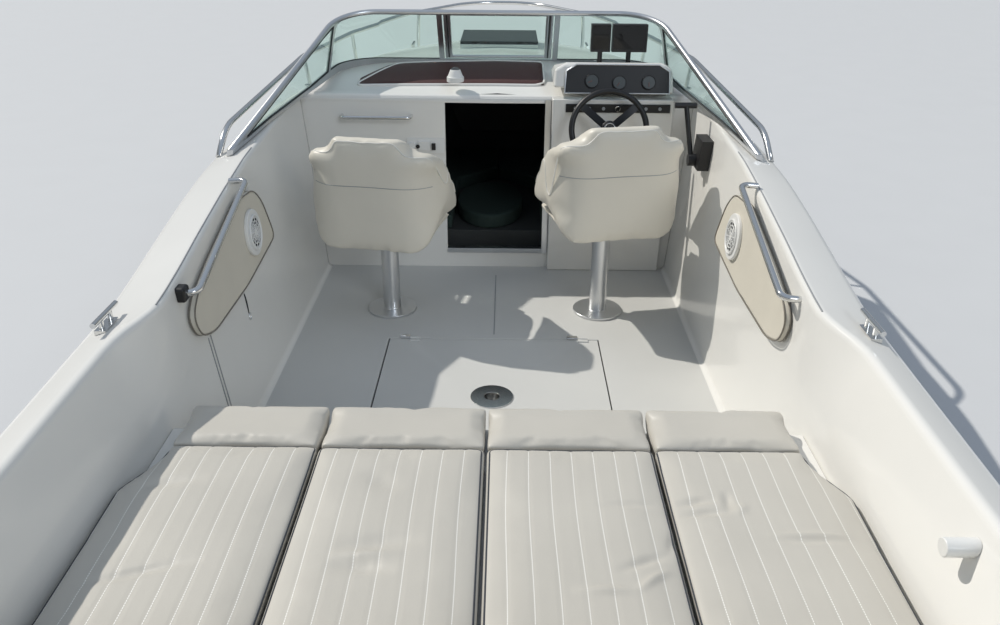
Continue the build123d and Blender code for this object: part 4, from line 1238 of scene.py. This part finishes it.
# Centre and normal of the part's largest flat face that looks a given way.
def facing(part, towards):
    part.normal_update()
    faces = [f for f in part.faces if f.normal.dot(Vector(towards)) > 0.6]
    best = max(faces, key=lambda f: f.calc_area())
    return best.calc_center_median(), best.normal.copy()


# The part's middle, moved out to the face that looks a given way; that face's normal; the part's half size.
def frontOf(part, towards):
    centre, normal = facing(part, towards)
    low, high = partBox(part)
    middle = (low + high) / 2
    return middle + normal * (centre - middle).dot(normal), normal, (high - low) / 2


# A flat face with its own UV map, for a pattern about its middle.
def dialDisc(name, centre, normal, radius, material):
    bm = bmesh.new()
    bmesh.ops.create_circle(bm, cap_ends=True, segments=48, radius=radius)
    uv = bm.loops.layers.uv.new("dial")
    for face in bm.faces:
        for loop in face.loops:
            loop[uv].uv = (0.5 + 0.5 * loop.vert.co.x / radius, 0.5 + 0.5 * loop.vert.co.y / radius)
    turn = normal.to_track_quat("Z", "Y").to_matrix().to_4x4()
    bmesh.ops.transform(bm, matrix=Matrix.Translation(centre) @ turn, verts=bm.verts)
    mesh = meshOf(name, bm)
    if mesh.polygons[0].normal.dot(normal) < 0:
        mesh.flip_normals()
    return addObject(name, mesh, material)


# The black panel in its bright rim; returns the way it faces.
def makeDialPanel(part):
    low, high = partBox(part)
    for vert in part.verts:
        up = (vert.co.z - low.z) / (high.z - low.z)
        vert.co += Vector((0, 0.16, 1)) * 0.014 * up
    panel = addBevel(makeObject("dial_panel", part, blackPlastic), 0.0015, 2)
    settle(panel, "root", ["instruments"])
    centre, normal = facing(bmeshOf(panel.data), (0, -1, 0.3))
    rim = sorted({tuple(round(c, 4) for c in v.co) for v in panel.data.vertices
                  if (v.co - centre).dot(normal) > -0.001})
    rim.sort(key=lambda p: math.atan2(p[2] - centre.z, p[0] - centre.x))
    edge = tubeAlong("dial_panel_rim", [Vector(p) + normal * 0.001 for p in rim], 0.004, aluminium, cyclic=True,
                     sides=3, smooth=False)
    settle(asMesh(edge), "root")
    return normal


# One gauge: its case, bezel, marked face and needle.
def makeGauge(number, part, towards):
    front, normal, half = frontOf(part, towards)
    front += normal * 0.0004
    radius = half.x
    pieces = [makeObject("dial_case", part, blackPlastic)]
    pieces.append(ring("bezel", front, normal, radius - 0.003, dialSizes["bezel"], blackPlastic))
    pieces.append(dialDisc("face", front, normal, radius - 0.004, dialFace))
    turn = Matrix.Rotation(math.radians(dialSizes["firstTurn"] + dialSizes["turnStep"] * number), 3, normal)
    tip = front + turn @ Vector((0, 0, 1)).cross(normal).normalized() * radius * dialSizes["needleShare"]
    pieces.append(tubeAlong("needle", [front + normal * 0.001, tip + normal * 0.001], dialSizes["needle"], redPlastic,
                            sides=1, smooth=False))
    settle(joined("dial_" + str(number + 1), pieces), "root")


compassSizes = {"dome": 0.026, "sunk": 0.014}


def makeCompass(part):
    case = addBevel(makeObject("compass_case", part, whitePlastic, 50), 0.003, 3)
    low, high = partBox(bmeshOf(case.data))
    middle = (low + high) / 2
    place = Matrix.Translation((middle.x, middle.y, high.z - compassSizes["sunk"]))
    dome = bmesh.new()
    bmesh.ops.create_uvsphere(dome, u_segments=32, v_segments=16, radius=compassSizes["dome"], matrix=place)
    settle(joined("compass", [case, makeObject("dome", dome, smoked, 80)]), "root")


# The dial panel with its dials from port to starboard, and the compass on the dash.
def makeInstruments():
    parts = sorted(looseParts("instruments"), key=lambda p: partBox(p)[0].x)
    compass = [p for p in parts if partBox(p)[1].x < 0]
    panels = [p for p in parts if partBox(p)[1].x - partBox(p)[0].x > 0.3]
    dials = [p for p in parts if p not in compass + panels]
    towards = makeDialPanel(panels[0])
    for i, part in enumerate(dials):
        makeGauge(i, part, towards)
    makeCompass(compass[0])


# Soft-cornered cases with a dark screen towards the helm.
def makeDisplays():
    dress("chart_displays", blackPlastic, 0.006, 3)
    for i, part in enumerate(looseParts("chart_displays")):
        low, high = partBox(part)
        least = (low.x + 0.008, low.y - 0.0012, high.z - 0.118)
        most = (high.x - 0.008, low.y + 0.002, high.z - 0.008)
        screen = roundBox("display_screen_" + str(i + 1), least, most, smoked, 0.001, 2)
        settle(applyModifiers(screen), "root")


speakerSizes = {
    "hoops": (0.16, 0.32, 0.48, 0.64), "hoop": 0.0022, "rimShare": 0.72, "rim": 0.0045, "spokes": 12,
    "spoke": 0.0016, "spokeShare": 0.7, "coneShare": 0.68, "lift": 0.003,
}


# Round grilles: a rim, a dark cone, and hoops and spokes in front of it.
def makeSpeakers():
    for i, part in enumerate(looseParts("speakers")):
        inboard = -1 if partBox(part)[0].x > 0 else 1
        front, normal, half = frontOf(part, (inboard, 0, 0.3))
        radius = half.y
        pieces = [addBevel(makeObject("basket", part, whitePlastic), 0.004, 3)]
        pieces.append(disc("cone", front - normal * 0.001, normal, radius * speakerSizes["coneShare"], 0.0016, rubber))
        hub = front + normal * speakerSizes["lift"]
        hoops = ([(share, speakerSizes["hoop"]) for share in speakerSizes["hoops"]]
                 + [(speakerSizes["rimShare"], speakerSizes["rim"])])
        for share, wire in hoops:
            pieces.append(ring("hoop", hub, normal, radius * share, wire, whitePlastic))
        for k in range(speakerSizes["spokes"]):
            turn = Matrix.Rotation(math.tau * k / speakerSizes["spokes"], 3, normal)
            tip = hub + turn @ normal.orthogonal().normalized() * radius * speakerSizes["spokeShare"]
            pieces.append(tubeAlong("spoke", [hub, tip], speakerSizes["spoke"], whitePlastic, sides=1, smooth=False))
        settle(joined("speaker_" + str(i + 1), pieces), "root", ["speakers"])


wheelSizes = {
    "rake": 20, "capRadius": 0.030, "capThick": 0.008, "capOut": 0.026, "ringRadius": 0.024, "ringOut": 0.0345,
}


# The wheel with a soft rim, three spokes and a cap on its hub.
def makeWheel():
    dress("steering_wheel", blackPlastic, 0.0, 2, 50)
    centre = jointPlace("wheel_turn")
    rake = math.radians(wheelSizes["rake"])
    axis = Vector((0, math.cos(rake), -math.sin(rake)))
    cap = disc("wheel_cap", centre - axis * wheelSizes["capOut"], -axis, wheelSizes["capRadius"],
               wheelSizes["capThick"], blackPlastic, 0.003)
    trim = ring("cap_ring", centre - axis * wheelSizes["ringOut"], -axis, wheelSizes["ringRadius"], 0.0016, chrome)
    settle(joined("wheel_cap", [cap, trim]), "steering_wheel")


switchSizes = {
    "keys": 7, "lock": 3, "firstShare": -0.82, "stepShare": 0.27, "key": 0.008, "lockRadius": 0.013, "tall": 0.006,
    "socket": 0.010, "socketShare": -0.4, "rockerShare": 0.45, "rocker": (0.010, 0.005, 0.017),
}


# A row of round keys, with the bright ignition lock in the middle.
def helmKeys(centre, normal, half):
    keys = []
    for k in range(switchSizes["keys"]):
        place = centre + Vector((half * (switchSizes["firstShare"] + switchSizes["stepShare"] * k), 0, 0))
        radius, material = ((switchSizes["lockRadius"], chrome) if k == switchSizes["lock"]
                            else (switchSizes["key"], railGrey))
        keys.append(disc("key", place, normal, radius, switchSizes["tall"], material, 0.001))
    return keys


# A round socket and a rocker on the plate by the door.
def doorPair(low, middle, half):
    socket = Vector((middle.x + half * switchSizes["socketShare"], low.y, middle.z))
    x = middle.x + half * switchSizes["rockerShare"]
    wide, out, tall = switchSizes["rocker"]
    return [disc("socket", socket, (0, -1, 0), switchSizes["socket"], 0.003, blackPlastic, 0.0005),
            roundBox("rocker", (x - wide, low.y - out, middle.z - tall), (x + wide, low.y + 0.003, middle.z + tall),
                     blackPlastic, 0.002, 2)]


# The helm's switch strip, and a white plate by the door with a rocker and a socket.
def makeSwitches():
    for part in looseParts("switches"):
        low, high = partBox(part)
        middle, half = (low + high) / 2, (high.x - low.x) / 2
        centre, normal = facing(part, (0, -1, 0.2))
        if high.x > 0.3:
            name, material, small = "helm_switches", blackPlastic, helmKeys(centre, normal, half)
        else:
            name, material, small = "door_switches", whitePlastic, doorPair(low, middle, half)
        plate = addBevel(makeObject(name, part, material), 0.002, 2)
        settle(joined(name, [plate] + small), "root", ["switches"])


makeInstruments()
makeSwitches()
makeDisplays()
makeSpeakers()
makeWheel()
print("helm made")


# dash tray, panels and rails


mouldTree = treeOf(moulding.data)


def deckHeight(x, y):
    return onSurface(mouldTree, (x, y, 3), (0, 0, -1)).z


traySizes = {
    "frame": 0.008, "lift": 0.002, "matLift": 0.0035, "mat": 0.003, "taper": 0.17, "portWide": 0.035,
    "corners": [0.05, 0.03, 0.03, 0.20, 0.03, 0.05],
}


# A dark carpet in a white frame, along the foot of the windscreen.
def makeTray():
    low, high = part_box("dash_tray")
    low, high = Vector((low.x, low.y + 0.02)), Vector((high.x, high.y - 0.03))
    outline = [(high.x, low.y, 0), (high.x, high.y, 0), (low.x + traySizes["taper"], high.y, 0),
               (low.x, low.y + traySizes["portWide"], 0), (low.x, low.y, 0)]
    closed = roundedLine([outline[-1]] + outline + outline[:2], traySizes["corners"], 5)[1:-1]
    points = resampled(closed, 90)[:-1]
    rim = [Vector((p.x, p.y, deckHeight(p.x, p.y) + traySizes["lift"])) for p in points]
    border = tubeAlong("tray_frame", rim, traySizes["frame"], gelcoat, cyclic=True, sides=3)
    settle(asMesh(border), "root")
    rows = []
    for x in spread(low.x + 0.004, high.x - 0.004, 0.03):
        crossing = [p.y for p in rim if abs(p.x - x) < 0.035]
        near, far = min(crossing), max(crossing)
        places = [near + (far - near) * k / 8 for k in range(9)]
        rows.append([(x, y, deckHeight(x, y) + traySizes["matLift"]) for y in places])
    mat = makeObject("tray_mat", stripOf(rows), burgundy)
    if mat.data.polygons[0].normal.z < 0:
        mat.data.flip_normals()
    settle(addWall(mat, traySizes["mat"], 1), "root", ["dash_tray"])


panelSizes = {
    "depth": 0.0235, "bevel": 0.009, "inset": 0.006, "corner": 0.05, "pipings": (0, 0.018), "piping": 0.0026,
}


# Vinyl pocket panels with piping, soft over their foam.
def makePanels():
    for i, part in enumerate(looseParts("pocket_panels")):
        low, high = partBox(part)
        side = 1 if low.x > 0 else -1
        centre, normal = facing(part, (-side, 0, 0.3))
        front = [f for f in part.faces if f.normal.dot(normal) > 0.99]
        rimEdges = [e for e in part.edges if sum(f in front for f in e.link_faces) == 1]
        places = {v for e in rimEdges for v in e.verts}
        middle = sum((v.co for v in places), Vector()) / len(places)
        loop = sorted(places, key=lambda v: math.atan2(v.co.z - middle.z, v.co.y - middle.y))
        line = [v.co + (middle - v.co).normalized() * panelSizes["inset"] + normal * 0.001 for v in loop]
        closed = roundedLine([line[-1]] + line + line[:1], [panelSizes["corner"]] * len(line), 4)[1:-1]
        name = "pocket_panel_" + str(i + 1)
        slab = bmesh.new()
        face = slab.faces.new([slab.verts.new(p) for p in closed])
        back = bmesh.ops.extrude_face_region(slab, geom=[face])["geom"]
        backVerts = [v for v in back if isinstance(v, bmesh.types.BMVert)]
        bmesh.ops.translate(slab, vec=-normal * panelSizes["depth"], verts=backVerts)
        pieces = [addBevel(makeObject(name, slab, panelVinyl), panelSizes["bevel"], 4)]
        for drop in panelSizes["pipings"]:
            line = [point - normal * drop for point in closed]
            pieces.append(tubeAlong("piping", line, panelSizes["piping"], brownPiping, cyclic=True, sides=2))
        settle(joined(name, pieces), "root", ["pocket_panels"])


makeTray()
makePanels()
print("trim made")


# windscreen, gunwale and wall trim


stileSizes = {
    "in": 0.026, "foot": 0.012, "head": 0.014, "apart": 0.010, "radius": 0.009, "seal": 0.0045, "sealOut": 0.012,
    "railIn": 0.016, "rail": 0.008,
}


# The hinged centre pane's own frame, beside the two fixed posts.
def makePaneFrame():
    low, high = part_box("glass_centre")
    tree = treeOf(nodes["glass_centre"].data)

    def onPane(places, out):
        return [hit + Vector(out) for hit in hitsOf(tree, [(x, 3, z) for x, z in places], (0, 1, 0))]

    pieces = []
    for x in (stileSizes["in"] - high.x, high.x - stileSizes["in"]):
        places = [(x, z) for z in spread(low.z + stileSizes["foot"], high.z - stileSizes["head"], 0.05)]
        for dx in (-stileSizes["apart"], stileSizes["apart"]):
            run = onPane(places, (dx, -stileSizes["radius"], 0))
            pieces.append(tubeAlong("stile", run, stileSizes["radius"], aluminium, sides=3))
        run = onPane(places, (0, -stileSizes["sealOut"], 0))
        pieces.append(tubeAlong("stile_seal", run, stileSizes["seal"], rubber, sides=2))
    for z in (low.z + stileSizes["railIn"], high.z - stileSizes["railIn"]):
        run = onPane([(x, z) for x in spread(-high.x + 0.03, high.x - 0.03, 0.1)], (0, -stileSizes["rail"], 0))
        pieces.append(tubeAlong("rail", run, stileSizes["rail"], aluminium, sides=3))
    settle(joined("centre_pane_frame", pieces), "root")


# A dark bead round each side and corner pane, on its cockpit side.
def makeGaskets():
    pieces = []
    for nodeName in ("glass_wings", "glass_corners"):
        for part in looseParts(nodeName):
            part.normal_update()
            low, high = partBox(part)
            side = 1 if low.x > -0.1 else -1
            inner = {f for f in part.faces if f.normal.y < 0.2 and f.normal.x * side < 0.1}
            rim = [e for e in part.edges if e.calc_face_angle(0) > 1.0 and any(f in inner for f in e.link_faces)]
            for edge in rim:
                ends = [v.co + Vector((-side * 0.002, 0, 0)) for v in edge.verts]
                pieces.append(tubeAlong("bead", ends, 0.0035, rubber, sides=1, smooth=False))
    settle(joined("screen_gaskets", pieces), "root")


# grey bead along each gunwale's inner edge: painted shade for the line where the lit top meets the shaded wall, partly
# a real groove
shadeLineBeadSizes = {"from": 1.44, "to": 2.56, "out": 0.012, "radius": 0.0026}
lockerSizes = {"top": (1.701, 0.506), "foot": (1.728, 0.205), "apart": 0.022, "radius": 0.0022}


def onPortWall(y, z):
    return Vector((0.001 - wallAt(y, z), y, z))


# The bead under each gunwale's inner edge, partly a real groove and partly painted shade for the dark line where the
# lit top meets the shaded wall; the locker's edge and strap, and the hand rail's clamp, port.
def makeWallTrim():
    pieces = []
    for side in (-1, 1):
        line = []
        for y in spread(shadeLineBeadSizes["from"], shadeLineBeadSizes["to"], 0.07):
            x = wallTop(y)[0] + shadeLineBeadSizes["out"]
            line.append(Vector((side * x, y, deckHeight(x, y))))
        # painted shade: a grey bead standing for the shade line at the gunwale's inner edge
        pieces.append(tubeAlong("bead", line, shadeLineBeadSizes["radius"], railGrey, sides=2))
    top, foot = Vector(lockerSizes["top"]), Vector(lockerSizes["foot"])
    for shift in (0, lockerSizes["apart"]):
        places = [top.lerp(foot, k / 4) + Vector((shift, 0)) for k in range(5)]
        line = [onPortWall(place.x, place.y) for place in places]
        pieces.append(tubeAlong("locker_edge", line, lockerSizes["radius"], railGrey, sides=1, smooth=False))
    settle(joined("wall_trim", pieces), "root")
    strap = tubeAlong("wall_strap", [(-0.921, 2.102, 0.482), (-0.914, 2.104, 0.455), (-0.914, 2.107, 0.400)], 0.0035,
                      rubber, sides=2)
    eye = ring("strap_eye", (-0.910, 2.110, 0.385), (1, 0.1, 0.1), 0.013, 0.0022, chrome, sides=24)
    settle(joined("wall_strap", [strap, eye]), "root")
    low, high = (-0.962, 1.552, 0.700), (-0.912, 1.600, 0.748)
    clamp = roundBox("rail_clamp", low, high, blackPlastic, 0.010, 4)
    settle(applyModifiers(clamp), "root")


makePaneFrame()
makeGaskets()
makeWallTrim()
print("windscreen and wall trim made")


# stage, light and camera

waterlineZ = 0.0
groundSizes = {"reach": 60, "middle": (0, 2.6)}


# A pale floor at the waterline, open where the hull goes through it.
def makeGround():
    hullTree = treeOf(nodes["hull"].data)
    abeam = [(3, y, waterlineZ + 0.001) for y in spread(0.001, cadHigh.y - 0.01, 0.12)]
    half = [(hit.x - 0.004, hit.y) for hit in hitsOf(hullTree, abeam, (-1, 0, 0))]
    rim = half + [(-x, y) for x, y in reversed(half)]
    middle = Vector(groundSizes["middle"])
    bm = bmesh.new()
    inner = [bm.verts.new((x, y, waterlineZ)) for x, y in rim]
    outer = []
    for x, y in rim:
        away = (Vector((x, y)) - middle).normalized() * groundSizes["reach"]
        outer.append(bm.verts.new((middle.x + away.x, middle.y + away.y, waterlineZ)))
    for i in range(len(rim)):
        k = (i + 1) % len(rim)
        bm.faces.new((inner[i], inner[k], outer[k], outer[i]))
    material = surface("groundFloor", (0.60, 0.61, 0.62), 0.8, grain=40, depth=0.05, tone=0.02)[0]
    ground = makeObject("ground", bm, material)
    if ground.data.polygons[0].normal.z < 0:
        ground.data.flip_normals()
    return ground


def addSun(name, direction, energy, angle, colour):
    light = bpy.data.lights.new(name, "SUN")
    light.energy = energy
    light.angle = math.radians(angle)
    light.color = colour
    obj = addObject(name, light)
    obj.rotation_euler = Vector(direction).to_track_quat("-Z", "Y").to_euler()
    return obj


# Soft light from all round, bluer from above.
def makeWorld():
    world = bpy.data.worlds.new("world")
    bpy.context.scene.world = world
    world.use_nodes = True
    tree = world.node_tree
    background = tree.nodes["Background"]
    place = addNode(tree, "ShaderNodeTexCoord")
    split = addNode(tree, "ShaderNodeSeparateXYZ")
    tree.links.new(place.outputs["Generated"], split.inputs[0])
    ramp = addNode(tree, "ShaderNodeValToRGB")
    stops = [(0.0, (0.42, 0.45, 0.47, 1)), (0.9, (0.70, 0.82, 1.0, 1))]
    for element, (position, colour) in zip(ramp.color_ramp.elements, stops):
        element.position, element.color = position, colour
    tree.links.new(split.outputs["Z"], ramp.inputs["Fac"])
    tree.links.new(ramp.outputs["Color"], background.inputs["Color"])
    background.inputs["Strength"].default_value = 0.5


cameraView = {"place": (0.0463, -0.75, 1.80), "lens": 30.578, "pitch": 25.9075, "yaw": -0.3375, "roll": 0.4232}


# The camera, at the photo's place and angle.
def addCamera():
    camera = bpy.data.cameras.new("camera")
    camera.lens = cameraView["lens"]
    camera.sensor_width = 36
    camera.sensor_fit = "HORIZONTAL"
    camera.clip_start = 0.02
    camera.clip_end = 200
    obj = addObject("camera", camera)
    pitch, yaw, roll = (math.radians(cameraView[key]) for key in ("pitch", "yaw", "roll"))
    right = Vector((math.cos(yaw), -math.sin(yaw), 0))
    ahead = Vector((math.sin(yaw) * math.cos(pitch), math.cos(yaw) * math.cos(pitch), -math.sin(pitch)))
    up = right.cross(ahead)
    turnedRight = right * math.cos(roll) + up * math.sin(roll)
    turnedUp = up * math.cos(roll) - right * math.sin(roll)
    matrix = Matrix((turnedRight, turnedUp, -ahead)).transposed().to_4x4()
    matrix.translation = Vector(cameraView["place"])
    obj.matrix_world = matrix
    bpy.context.scene.camera = obj
    return obj


ground = makeGround()
makeWorld()
sun = addSun("sun", (0.62, -0.30, -0.72), 2.95, 0.8, (1.0, 0.955, 0.88))
fill = addSun("fill", (-0.4, 0.8, -0.45), 0.5, 20, (0.85, 0.92, 1.0))
camera = addCamera()
print("floor, lights and camera made")

bpy.context.scene.view_settings.view_transform = "Standard"
